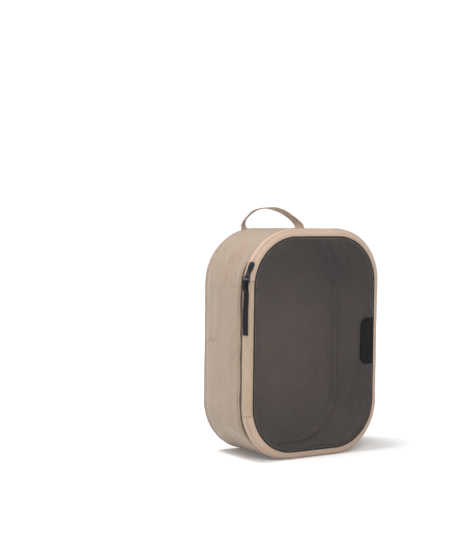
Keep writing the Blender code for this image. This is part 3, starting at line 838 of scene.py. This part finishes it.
def build_strip():
    """Hinge strip on the left: the lid's cloth, hemmed at both ends, bending at the crease."""
    start, end = STRIP_BOTTOM + SEAM_GAP, STRIP_TOP - SEAM_GAP
    across = np.concatenate([[-1.8 * MM, -0.4 * MM], np.linspace(0.6 * MM, BAND, 16), [BAND + 1.2 * MM]])
    profile = band_profile(np.maximum(across, 0.0))
    profile[0, 0], profile[0, 1] = 2.0 * MM, CREASE + 1.8 * MM
    profile[1, 0], profile[1, 1] = 0.9 * MM, CREASE + 0.2 * MM
    profile[-1, 1] += 0.5 * MM

    def lift(places, shape):
        lifts = np.zeros((len(places), len(shape)))
        first, last = places[0, 3], places[-1, 3]
        for r, (x, z, turn, u) in enumerate(places):
            hem = 1 - smooth(min(u - first, last - u), 3.4 * MM, 4.2 * MM)
            tip = 1 - smooth(min(u - first, last - u), 0.0, 0.7 * MM)
            for c, s in enumerate(across):
                middle = math.sin(math.pi * min(1.0, max(0.0, s / BAND)))
                ripple = 0.5 * fbm(Vector((u * 0.7, s * 2.0, 11.0)), 45.0) + 0.18 * noise.noise(
                    Vector((u * 140.0, s * 60.0, 3.0)))
                lifts[r, c] = (0.3 * middle + ripple * middle + 0.45 * hem * (0.3 + 0.7 * middle) - 0.6 * tip) * MM
        return lifts
    strip = ring("hinge_strip_cloth", profile, across, CLOTH_THICK, strip_cloth_painted_lighter, None, start, end, lift, 1.6 * MM,
                 slot="beige_nylon", replaces=["hinge_strip", "hinge_hem_top", "hinge_hem_bottom"])
    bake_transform(strip)
    for name, turn in (("hem_stitches_top", STRIP_TOP - 2.7), ("hem_stitches_bottom", STRIP_BOTTOM + 2.7)):
        lines = band_profile(np.linspace(1.2 * MM, BAND - 0.8 * MM, 14))
        places, _ = frames(turn, turn + 0.4)
        points, normals = carry(places[:1], lines, np.full((1, 14), 0.75 * MM))
        threads(name, points[0], normals[0], 2.4 * MM, 1.9 * MM, 0.17 * MM, beige_thread, "lid", slot="beige_nylon")


def bead_profile(low, high, middle_y, tall, count=9):
    """A rounded bead standing on the window's plane, as a profile from its outer to its inner foot."""
    out = []
    for k in range(count):
        turn = math.pi * k / (count - 1)
        share = -math.cos(turn)
        inset = (low + high) / 2 + (high - low) / 2 * share
        out.append((inset, middle_y - tall * math.sin(turn), -share, -math.sin(turn)))
    return np.array(out)


def build_window():
    low = EDGE + 0.2 * MM
    bead = bead_profile(low, low + 2.3 * MM, FRONT + 0.5 * MM, 1.25 * MM)
    vs = np.linspace(0, 4 * MM, len(bead))

    def ripple(places, shape):
        lifts = np.zeros((len(places), len(shape)))
        for r, (x, z, turn, u) in enumerate(places):
            lifts[r, :] = 0.14 * MM * noise.noise(Vector((u * 90.0, 0.0, 12.0)))
        return lifts
    ring("window_binding_cloth", bead, vs, 0.5 * MM, binding, "lid", raised=ripple, slot="black_binding",
         replaces=["window_binding"])
    points, normals = seam_line((low + 2.6 * MM, FRONT - 0.25 * MM, 0.0, -1.0), 0, 360, 0.1 * MM)
    threads("binding_stitches", points, normals, 2.2 * MM, 2.0 * MM, 0.26 * MM, seam_thread, "lid",
            slot="black_binding")
    inset = low + 1.6 * MM
    window = sheet_panel("window_netting", inset, mesh_depth, 0.35 * MM, netting, "lid", -1,
                         slot="smoke_mesh", replaces=["window_mesh"])
    edges = [inset + 0.4 * MM, inset + 2.4 * MM, inset + 4.6 * MM, inset + 5.0 * MM]
    fold = np.array([(edges[0], FRONT + 0.9 * MM, 0, -1), (edges[1], FRONT + 0.75 * MM, 0, -1),
                     (edges[2], FRONT + 0.8 * MM, 0, -1), (edges[3], FRONT + 1.4 * MM, -0.7, -0.7)])

    def wander(places, shape):
        lifts = np.zeros((len(places), len(shape)))
        for r, (x, z, turn, u) in enumerate(places):
            lifts[r, 1:] = 0.25 * MM * noise.noise(Vector((u * 60.0, 0.0, 21.0))) - 0.1 * MM
        return lifts
    ring("window_seam_edge", fold, np.array(edges) - edges[0], 0.7 * MM, allowance, "lid", raised=wander,
         slot="seam_lining", replaces=["window_seam_allowance"])
    return window


def build_patch():
    """Blank rubber patch tucked under the right-hand binding, with a rounded rim and a stitched-in groove."""
    start = EDGE + 2.2 * MM
    wide, tall, corner, thick = 21 * MM, 58 * MM, 11 * MM, 1.1 * MM
    columns, rows = 44, 80
    x, y, z = np.zeros((rows, columns)), np.zeros((rows, columns)), np.zeros((rows, columns))
    for c in range(columns):
        whole = 0.5 - 0.5 * math.cos(math.pi / 1.35)
        edge = wide * (0.5 - 0.5 * math.cos(math.pi * c / (columns - 1) / 1.35)) / whole
        inset = start + wide - edge
        cut = corner - math.sqrt(max(0.0, corner**2 - max(0.0, corner - edge) ** 2))
        half = tall / 2 - cut
        for r in range(rows):
            along = math.sin(math.pi / 2 * (2 * r / (rows - 1) - 1))
            x[r, c] = WIDTH / 2 - inset
            z[r, c] = HEIGHT / 2 + half * along
            side = min(edge, half - abs(half * along))
            rise = thick * math.sqrt(max(0.0, 1 - (1 - min(1.0, side / (0.8 * MM))) ** 2))
            groove = 0.3 * MM * math.exp(-(((side - 2.3 * MM) / (0.35 * MM)) ** 2))
            away = max(0.0, inset - EDGE - 1.8 * MM)
            y[r, c] = min(mesh_depth(x[r, c], z[r, c], away), FRONT) - 0.35 * MM - rise + groove
    points = np.stack([x, y, z], -1)
    normals = np.zeros_like(points)
    normals[..., 1] = -1
    mesh = grid("patch_face", points, normals, x, z, 0.5 * MM)
    link("rubber_patch", mesh, patch_rubber, "lid", slot="black_rubber", replaces=["label_patch"])


# ---------------------------------------------------------------- slider, tab, strap


def slider_axes():
    turn = math.radians(SLIDER_TURN)
    inset, y, out_share, ahead = band_profile([MIDDLE])[0]
    tilt = (MIDDLE - FLAT) / EDGE
    reach = RADIUS - inset
    at = Vector((CENTRES[0][0] - reach * math.cos(turn), y, CENTRES[0][1] + reach * math.sin(turn)))
    along = Vector((math.sin(turn), 0, math.cos(turn)))
    out = Vector((-math.cos(turn) * math.cos(tilt), -math.sin(tilt), math.sin(turn) * math.cos(tilt)))
    return along, along.cross(out), out, at


def stamped(name, loops, low, high, bevel, axes, at, material, body, **more):
    """Flat metal part from closed outlines, the first outer and the rest holes, with rounded edges."""
    data = bpy.data.curves.new(name, "CURVE")
    data.dimensions = "2D"
    data.fill_mode = "BOTH"
    data.extrude = (high - low) / 2 - bevel
    data.bevel_depth = bevel
    data.bevel_resolution = 3
    data.offset = -bevel
    for loop in loops:
        spline = data.splines.new("POLY")
        spline.points.add(len(loop) - 1)
        spline.use_cyclic_u = True
        for point, (u, v) in zip(spline.points, loop):
            point.co = (u, v, 0, 1)
    mesh = baked(placed(name + "_raw", data))
    middle = (low + high) / 2
    for vertex in mesh.vertices:
        u, v, w = vertex.co
        vertex.co = at + axes[0] * u + axes[1] * v + axes[2] * (w + middle)
    made = link(name, mesh, material, body, smooth=False, **more)
    mesh.shade_smooth()
    body_mesh = bmesh.new()
    body_mesh.from_mesh(mesh)
    bmesh.ops.remove_doubles(body_mesh, verts=body_mesh.verts, dist=0.01 * MM)
    bmesh.ops.recalc_face_normals(body_mesh, faces=body_mesh.faces)
    for edge in body_mesh.edges:
        edge.smooth = len(edge.link_faces) == 2 and edge.calc_face_angle(0) < math.radians(35)
    body_mesh.to_mesh(mesh)
    body_mesh.free()
    return made


def rounded(points, radius, steps=5):
    """An outline with each corner turned on an arc."""
    out = []
    size = len(points)
    for k in range(size):
        here = Vector(points[k])
        before = Vector(points[k - 1]) - here
        after = Vector(points[(k + 1) % size]) - here
        cut = min(radius, 0.48 * before.length, 0.48 * after.length)
        first, last = here + before.normalized() * cut, here + after.normalized() * cut
        for j in range(steps + 1):
            t = j / steps
            out.append(tuple(first * (1 - t) ** 2 + here * 2 * t * (1 - t) + last * t**2))
    return out


def build_slider():
    along, across, out, at = slider_axes()
    flat, upright = (along, across, out), (along, out, across)
    long, wide = 6 * MM, 3.5 * MM

    def part(name, loops, low, high, bevel, axes, **more):
        stamped(name, loops, low, high, bevel, axes, at, metal, "slider", slot="gunmetal", **more)
    shape = [(-long, -0.78 * wide), (-0.3 * long, -wide), (0.6 * long, -wide), (long, -0.72 * wide)]
    shape += [(u, -v) for u, v in reversed(shape)]
    part("slider_plate", [rounded(shape, 0.9 * MM)], 0.45 * MM, 1.75 * MM, 0.35 * MM, flat, replaces=["slider_body"])
    part("slider_plate_under", [rounded(shape, 0.9 * MM)], -4.3 * MM, -3.4 * MM, 0.3 * MM, flat)
    post = [(0.3 * long, -0.3 * MM), (0.8 * long, -0.3 * MM), (0.8 * long, 0.3 * MM), (0.3 * long, 0.3 * MM)]
    part("slider_post", [rounded(post, 0.15 * MM)], -3.5 * MM, 0.6 * MM, 0.08 * MM, flat)
    for side, label in ((-1, "left"), (1, "right")):
        lip = [(-0.9 * long, side * 0.72 * wide), (0.7 * long, side * 0.97 * wide), (0.7 * long, side * 0.8 * wide),
               (-0.85 * long, side * 0.58 * wide)]
        part(f"slider_lip_{label}", [rounded(lip, 0.3 * MM)], -0.2 * MM, 0.6 * MM, 0.12 * MM, flat)
        rail = [(-0.86 * long, side * 0.62 * wide), (-0.25 * long, side * 0.82 * wide),
                (0.6 * long, side * 0.82 * wide), (0.88 * long, side * 0.6 * wide),
                (0.85 * long, side * 0.44 * wide), (0.55 * long, side * 0.62 * wide),
                (-0.25 * long, side * 0.62 * wide), (-0.82 * long, side * 0.44 * wide)]
        part(f"slider_rail_{label}", [rounded(rail, 0.3 * MM)], 1.6 * MM, 2.35 * MM, 0.22 * MM, flat)
    foot, arch, reach = 1.6 * MM, 4.3 * MM, 4.5 * MM
    outer = [(-reach, foot), (-reach + 0.3 * MM, arch - 0.6 * MM), (-reach + 1.8 * MM, arch + 0.8 * MM),
             (reach - 2.2 * MM, arch + 0.8 * MM), (reach - 0.4 * MM, arch - 1.0 * MM), (reach, foot)]
    inner = [(-reach + 1.2 * MM, foot + 0.45 * MM), (-reach + 1.4 * MM, arch - 0.6 * MM),
             (-reach + 2.2 * MM, arch - 0.1 * MM), (reach - 2.5 * MM, arch - 0.1 * MM),
             (reach - 1.5 * MM, arch - 1.2 * MM), (reach - 1.3 * MM, foot + 0.45 * MM)]
    bridge = [rounded(outer, 0.9 * MM), rounded(inner, 0.4 * MM)]
    part("slider_bridge_left", bridge, -1.35 * MM, -0.45 * MM, 0.2 * MM, upright, replaces=["slider_crown"])
    part("slider_bridge_right", bridge, 0.45 * MM, 1.35 * MM, 0.2 * MM, upright)
    for label, start, end in (("top", reach - 1.5 * MM, reach - 0.25 * MM),
                              ("foot", -reach + 0.2 * MM, -reach + 1.3 * MM)):
        block = [(start, -1.1 * MM), (end, -1.1 * MM), (end, 1.1 * MM), (start, 1.1 * MM)]
        part(f"slider_bridge_{label}", [rounded(block, 0.3 * MM)], foot, arch - 0.9 * MM, 0.2 * MM, flat)


def tab_axes():
    along, across, out, at = slider_axes()
    tilt = math.radians(-5)
    down = -along * math.cos(tilt) + out * math.sin(tilt)
    return down, across, across.cross(down) * -1, at + out * 3.2 * MM


TAB = 20.5 * MM


def build_tab():
    down, across, out, pivot = tab_axes()
    narrow, broad, end = 2.8 * MM, 4.4 * MM, TAB + 0.6 * MM
    right = [(-0.6 * MM, narrow), (0.34 * TAB, narrow - 0.1 * MM), (TAB - 7.5 * MM, narrow + 0.3 * MM),
             (TAB - 4.4 * MM, broad), (end, broad)]
    outline = right + [(u, -v) for u, v in reversed(right)]
    eye = [(0.6 * MM, -1.75 * MM), (6.0 * MM, -1.75 * MM), (6.0 * MM, 1.75 * MM), (0.6 * MM, 1.75 * MM)]
    hole = [(8.6 * MM, -1.0 * MM), (10.4 * MM, -1.0 * MM), (10.4 * MM, 1.0 * MM), (8.6 * MM, 1.0 * MM)]
    slot = [(TAB - 5.0 * MM, -3.5 * MM), (TAB - 0.55 * MM, -3.55 * MM), (TAB - 0.55 * MM, 3.55 * MM),
            (TAB - 5.0 * MM, 3.5 * MM)]
    loops = [rounded(outline, 1.1 * MM), rounded(eye, 1.2 * MM), rounded(hole, 0.8 * MM), rounded(slot, 0.9 * MM)]
    stamped("pull_tab_plate", loops, -0.6 * MM, 0.6 * MM, 0.25 * MM, (down, across, out), pivot, metal, "tab",
            slot="gunmetal", replaces=["pull_tab"])


def eased(points, count):
    """A smooth line through points, evenly spaced."""
    points = [Vector(p) for p in points]
    dense = []
    for k in range(len(points) - 1):
        a, b = points[max(k - 1, 0)], points[k]
        c, d = points[k + 1], points[min(k + 2, len(points) - 1)]
        for j in range(12):
            t = j / 12
            dense.append(0.5 * (2 * b + (c - a) * t + (2 * a - 5 * b + 4 * c - d) * t**2
                                + (3 * b - a - 3 * c + d) * t**3))
    dense.append(points[-1])
    dense = np.array([tuple(p) for p in dense])
    steps = np.concatenate([[0], np.cumsum(np.linalg.norm(np.diff(dense, axis=0), axis=1))])
    even = np.linspace(0, steps[-1], count)
    return np.stack([np.interp(even, steps, dense[:, i]) for i in range(3)], -1), steps[-1]


def strap(name, line, sides, section, length, material, body, **more):
    """A belt: its middle line, half-width directions, and a closed section of (across -1..1, height in metres)."""
    ahead = np.gradient(line, axis=0)
    ahead /= np.linalg.norm(ahead, axis=1)[:, None]
    size = len(section)
    verts, uvs = [], []
    widths = [np.linalg.norm(s) for s in sides]
    for here, along, side in zip(line, ahead, sides):
        face = np.cross(along, side)
        face /= np.linalg.norm(face)
        for across, height in section:
            verts.append(here + side * across + face * height)
    for r in range(len(line) - 1):
        u, u2 = length * r / (len(line) - 1), length * (r + 1) / (len(line) - 1)
        for c in range(size):
            d = (c + 1) % size
            v, v2 = section[c][0] * widths[r], section[d][0] * widths[r]
            uvs += [(u, v), (u, v2), (u2, v2), (u2, v)]
    uvs += [(0, section[c][0] * widths[0]) for c in reversed(range(size))]
    uvs += [(length, section[c][0] * widths[-1]) for c in range(size)]
    mesh = meshed(name, verts, skin(len(line), size))
    mesh.uv_layers.new(name="cloth").data.foreach_set("uv", np.array(uvs, np.float32).ravel())
    return link(name, mesh, material, body, **more)


def belt_section(thick, ribs, depth):
    """Closed section of a belt with rounded edges and shallow ribs on both faces."""
    count = 4 * ribs
    top = []
    for k in range(count + 1):
        share = -1 + 2 * k / count
        edge = math.sqrt(max(0.0, 1 - max(0.0, (abs(share) - 0.9) / 0.1) ** 2))
        rib = depth * (0.5 - 0.5 * math.cos(math.pi * (share + 1) * ribs))
        top.append((share, thick / 2 * max(0.12, edge) - rib * edge))
    return top + [(s, -h) for s, h in reversed(top)]


def build_strap():
    down, across_tab, out_tab, pivot = tab_axes()
    bar = pivot + down * TAB
    tilt = (MIDDLE - FLAT) / EDGE
    out = Vector((-math.cos(tilt), -math.sin(tilt), 0))
    across = Vector((math.sin(tilt), -math.cos(tilt), 0))
    inset, y, a, b = band_profile([MIDDLE])[0]
    lifted = (bar - Vector((-WIDTH / 2 + inset, y, bar.z))).dot(out)
    base = bar - out * lifted + across * 0.45 * MM
    thick, loop, crown = 1.1 * MM, 2.5 * MM, 0.7 * MM
    inner = 1.5 * MM
    outer = inner + thick + 0.12 * MM
    low = 0.9 * MM + 1.7 * MM + thick / 2 - 65.5 * MM
    near, far = lifted - loop, lifted + loop
    path = [(outer, low), (outer, -40 * MM), (outer, -16 * MM), (outer + 0.3 * MM, -11 * MM),
            (far - 0.5 * MM, -6.5 * MM), (far, -2.5 * MM)]
    for k in range(9):
        turn = math.radians(22.5 * k)
        path.append((lifted + loop * math.cos(turn), crown + loop * math.sin(turn)))
    path += [(near, -2.5 * MM), ((near + inner) / 2, -6.5 * MM), (inner, -11 * MM), (inner, -40 * MM), (inner, low)]
    line, length = eased([base + out * n + Vector((0, 0, h)) for n, h in path], 150)
    sides = []
    for k, point in enumerate(line):
        height = point[2] - base.z
        turned = math.radians(27) * smooth(height, -17 * MM, -2 * MM)
        lean = math.radians(16) * smooth(height, -10 * MM, 1 * MM)
        off = Vector(tuple(point)) - base
        depth = off.dot(out) - lifted
        spun = out * (lifted + depth * math.cos(turned)) - across * (depth * math.sin(turned))
        line[k] = np.array(tuple(base + spun + Vector((0, 0, off.z))))
        swing = -0.8 * MM * math.exp(-(((height + 4 * MM) / (6 * MM)) ** 2))
        swing += 0.5 * MM * math.sin((height + 20 * MM) / (15 * MM)) * smooth(-height, 8 * MM, 16 * MM)
        line[k] += np.array(tuple(across * swing * smooth(-height, -1 * MM, 3 * MM)))
        flat = across * math.cos(turned) + out * math.sin(turned)
        half = (3.1 - 0.8 * smooth(height, -12 * MM, -1 * MM)) * MM
        sides.append(tuple((flat * math.cos(lean) - Vector((0, 0, 1)) * math.sin(lean)) * half))
    sides = np.array(sides)
    section = []
    for k in range(25):
        share = -1 + 2 * k / 24
        edge = math.sqrt(max(0.0, 1 - max(0.0, (abs(share) - 0.86) / 0.14) ** 2))
        rim = 0.16 * MM * math.exp(-(((abs(share) - 0.62) / 0.09) ** 2))
        section.append((share, thick / 2 * max(0.15, edge) - rim))
    section += [(s, -h) for s, h in reversed(section)]
    strap("pull_strap", line, sides, section, length, strap_rubber, "puller", slot="black_rubber",
          replaces=["puller_strap"])
    face = outer + thick / 2
    for k, side in enumerate((-1.92, 1.92)):
        points = [base + out * (face - 0.02 * MM) + across * side * MM + Vector((0, 0, h))
                  for h in np.linspace(low + 2 * MM, -13 * MM, 40)]
        threads(f"strap_stitches_{k}", [tuple(p) for p in points], [tuple(out)] * 40, 2.6 * MM, 1.9 * MM,
                0.15 * MM, dark_thread, "puller", slot="black_thread",
                **({"replaces": ["puller_stitching"]} if k == 0 else {}))
    for k, h in enumerate((-13.0, -16.5)):
        points = [base + out * (face + 0.02 * MM) + across * s * MM + Vector((0, 0, h * MM))
                  for s in np.linspace(-2.4, 2.4, 12)]
        threads(f"strap_tack_{k}", [tuple(p) for p in points], [tuple(out)] * 12, 1.2 * MM, 1.0 * MM, 0.17 * MM,
                dark_thread, "puller", slot="black_thread")


def build_handle():
    """Webbing loop: its ends stand in the rear seam, it turns to face upward, and it leans back."""
    span, rise_top, half = 86 * MM, 27.2 * MM, 6.2 * MM
    pivot = Vector((0, REAR - 2.5 * MM, HEIGHT + 0.5 * MM))
    lean = math.radians(24)
    plane = Vector((0, math.cos(lean), -math.sin(lean)))
    upright = Vector((0, math.sin(lean), math.cos(lean)))
    count = 96
    line, sides = [], []
    for k in range(count + 1):
        turn = math.pi * (1 - k / count)
        rise = max(0.0, math.sin(turn)) ** 1.22
        sway = 0.8 * MM * math.sin(3.1 * turn + 0.4) * rise
        low = pivot + Vector((span / 2 * math.cos(turn), 0, 0)) + plane * sway
        line.append(low + upright * (0.2 * MM + (rise_top + 0.4 * MM) * rise))
    for k in range(count + 1):
        along = (line[min(k + 1, count)] - line[max(k - 1, 0)]).normalized()
        in_plane = along.cross(plane).normalized()
        if in_plane.x < 0:
            in_plane = -in_plane
        share = min(1.0, min(k, count - k) / (0.22 * count))
        roll = 14 * math.exp(-(((k / count - 0.24) / 0.12) ** 2))
        roll = math.radians(roll - 20 * math.exp(-(((k / count - 0.48) / 0.13) ** 2)))
        twist = math.radians(18 + 72 * share * share * (3 - 2 * share))
        sign = 1 if k <= count / 2 else -1
        pinch = 1 - 0.12 * math.exp(-((min(k, count - k) - 10) / 6) ** 2)
        pinch -= 0.2 * smooth(k, 52, 62) * smooth(count - k, 0, 12)
        side = in_plane * math.cos(twist) * sign + plane * math.sin(twist)
        side = side * math.cos(roll) - along.cross(side) * math.sin(roll)
        sides.append(side * half * pinch)
    whole = []
    for end, side in ((line[0], 1), (line[-1], -1)):
        stub = [end + Vector((0.3 * MM * side, -1.4 * MM, -4.4 * MM)),
                end + Vector((0.1 * MM * side, -0.6 * MM, -2.0 * MM))]
        whole.append(stub if side > 0 else stub[::-1])
    whole = whole[0] + line + whole[1]
    sides = [sides[0]] * 2 + sides + [sides[-1]] * 2
    points = np.array([tuple(p) for p in whole])
    length = float(np.linalg.norm(np.diff(points, axis=0), axis=1).sum())
    handle = strap("handle_loop", points, np.array([tuple(s) for s in sides]), belt_section(1.5 * MM, 7, 0.16 * MM),
                   length, webbing, None, slot="beige_webbing", replaces=["handle_webbing"])
    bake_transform(handle)
    for side in (-1, 1):
        label = "left" if side < 0 else "right"
        tack = [(side * span / 2 + shift * MM, REAR - 4.4 * MM, HEIGHT + 0.45 * MM)
                for shift in np.linspace(-5.8, 5.8, 16)]
        threads(f"handle_tack_{label}", tack, [(0, -0.3, 1)] * 16, 1.1 * MM, 1.0 * MM, 0.17 * MM, beige_thread,
                "cube", slot="beige_webbing", replaces=[f"handle_anchor_{label}"])


def build_inner_seams():
    """Bound seams inside the cube, seen through the netting and with the lid open."""
    front = np.array([(2.4 * MM, CREASE + 0.6 * MM, -1, 0), (2.7 * MM, CREASE + 1.2 * MM, -1, 0),
                      (2.8 * MM, CREASE + 4.5 * MM, -1, 0), (2.8 * MM, CREASE + 8.0 * MM, -1, 0),
                      (2.4 * MM, CREASE + 8.6 * MM, -0.7, 0.7)])
    ring("front_seam_fold", front, [0, 1 * MM, 4 * MM, 7.5 * MM, 8.3 * MM], 0.5 * MM, lining, "cube",
         slot="seam_lining", replaces=["gusset_front_seam"])
    rear = []
    for k in range(9):
        turn = math.pi * k / 8
        rear.append((3.2 * MM + 1.9 * MM * math.sin(turn), REAR - 10.5 * MM - 4.2 * MM * math.cos(turn),
                     -math.sin(turn), -math.cos(turn)))
    ring("rear_seam_bead", np.array(rear), np.linspace(0, 12 * MM, 9), 0.6 * MM, lining, "cube",
         slot="seam_lining", replaces=["rear_inner_seam"])
    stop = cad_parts["zip_end_stop"]
    stop.data.materials.clear()
    stop.data.materials.append(coil_nylon)


# ---------------------------------------------------------------- stage


def build_stage():
    """A pale floor that glows as painted light, faintly by the cube and fully far away so that it meets the white
    behind it, and three soft lights.
    """
    reach = 2.2
    corners = [(-reach, -reach, 0), (reach, -reach, 0), (reach, reach, 0), (-reach, reach, 0)]
    floor_mesh = meshed("floor", corners, [(0, 1, 2, 3)])
    floor = placed("floor", floor_mesh)
    s = Shader("pale_floor", roughness=0.9, specular=0.1)
    s.set("Base Color", s.blend(s.noise(s.place(), 3.0), (0.93, 0.93, 0.93), (0.95, 0.95, 0.95)))
    away = s.node("VectorMath", s.place(), operation="LENGTH").outputs["Value"]
    # Painted light: the floor glows, at 0.10 near the cube rising to 1.0 far away, and so lights the cube from
    # below.
    s.out.inputs["Emission Color"].default_value = (1.0, 1.0, 1.0, 1.0)
    s.set("Emission Strength", s.node("MapRange", away, 0.30, 1.2, 0.10, 1.0).outputs[0])
    floor_mesh.materials.append(s.done())
    world = bpy.data.worlds.new("studio")
    bpy.context.scene.world = world
    world.use_nodes = True
    tree = world.node_tree
    tree.nodes["Background"].inputs[0].default_value = (1.0, 1.0, 1.0, 1.0)
    tree.nodes["Background"].inputs[1].default_value = 0.36
    seen = tree.nodes.new("ShaderNodeBackground")
    seen.inputs[0].default_value = (1.0, 1.0, 1.0, 1.0)
    seen.inputs[1].default_value = 1.05
    mix = tree.nodes.new("ShaderNodeMixShader")
    tree.links.new(tree.nodes.new("ShaderNodeLightPath").outputs["Is Camera Ray"], mix.inputs[0])
    tree.links.new(tree.nodes["Background"].outputs[0], mix.inputs[1])
    tree.links.new(seen.outputs[0], mix.inputs[2])
    tree.links.new(mix.outputs[0], tree.nodes["World Output"].inputs[0])
    centre = Vector((0, 0, 0.14))
    for name, place, size, power, tint in (
            ("key", (-1.05, -2.0, 1.8), 1.2, 41.0, (1.0, 0.985, 0.965)),
            ("fill", (-2.2, -0.9, 0.9), 1.6, 1.5, (0.97, 0.985, 1.0)),
            ("top", (-0.6, 0.1, 2.0), 0.9, 41.0, (1.0, 1.0, 1.0))):
        light = bpy.data.lights.new(name, "AREA")
        light.energy, light.size, light.color = power, size, tint
        lamp = placed(name, light)
        lamp.location = place
        lamp.rotation_mode = "QUATERNION"
        lamp.rotation_quaternion = (centre - lamp.location).to_track_quat("-Z", "Y")


def build_camera():
    """The photograph's view: from the hinge side, a little above the middle."""
    azimuth, elevation, roll = math.radians(32.91), math.radians(3.15), math.radians(0.71)
    distance, aside, above, lens = 1.628, -0.0847, 0.0809, 85.2
    back = Vector((-math.sin(azimuth) * math.cos(elevation), -math.cos(azimuth) * math.cos(elevation),
                   math.sin(elevation)))
    right = Vector((0, 0, 1)).cross(back).normalized()
    up = back.cross(right)
    data = bpy.data.cameras.new("camera")
    data.lens, data.sensor_width = lens, 36.0
    data.clip_start, data.clip_end = 0.01, 50
    camera = placed("camera", data)
    camera.location = Vector((0, 0, HEIGHT / 2)) + back * distance + right * aside + up * above
    turned_right = right * math.cos(roll) + up * math.sin(roll)
    turned_up = back.cross(turned_right)
    camera.rotation_mode = "QUATERNION"
    camera.rotation_quaternion = Matrix((turned_right, turned_up, back)).transposed().to_quaternion()
    bpy.context.scene.camera = camera


gusset = build_walls()
back = sheet_panel("back_cloth", 6.6 * MM, back_depth, CLOTH_THICK, cloth, "cube", 1, slot="beige_nylon",
                   replaces=["back_panel"])
build_zip()
build_strip()
window = build_window()
build_patch()
build_slider()
build_tab()
build_strap()
build_handle()
build_inner_seams()
build_stage()
build_camera()
bpy.context.scene.view_settings.view_transform = "Standard"
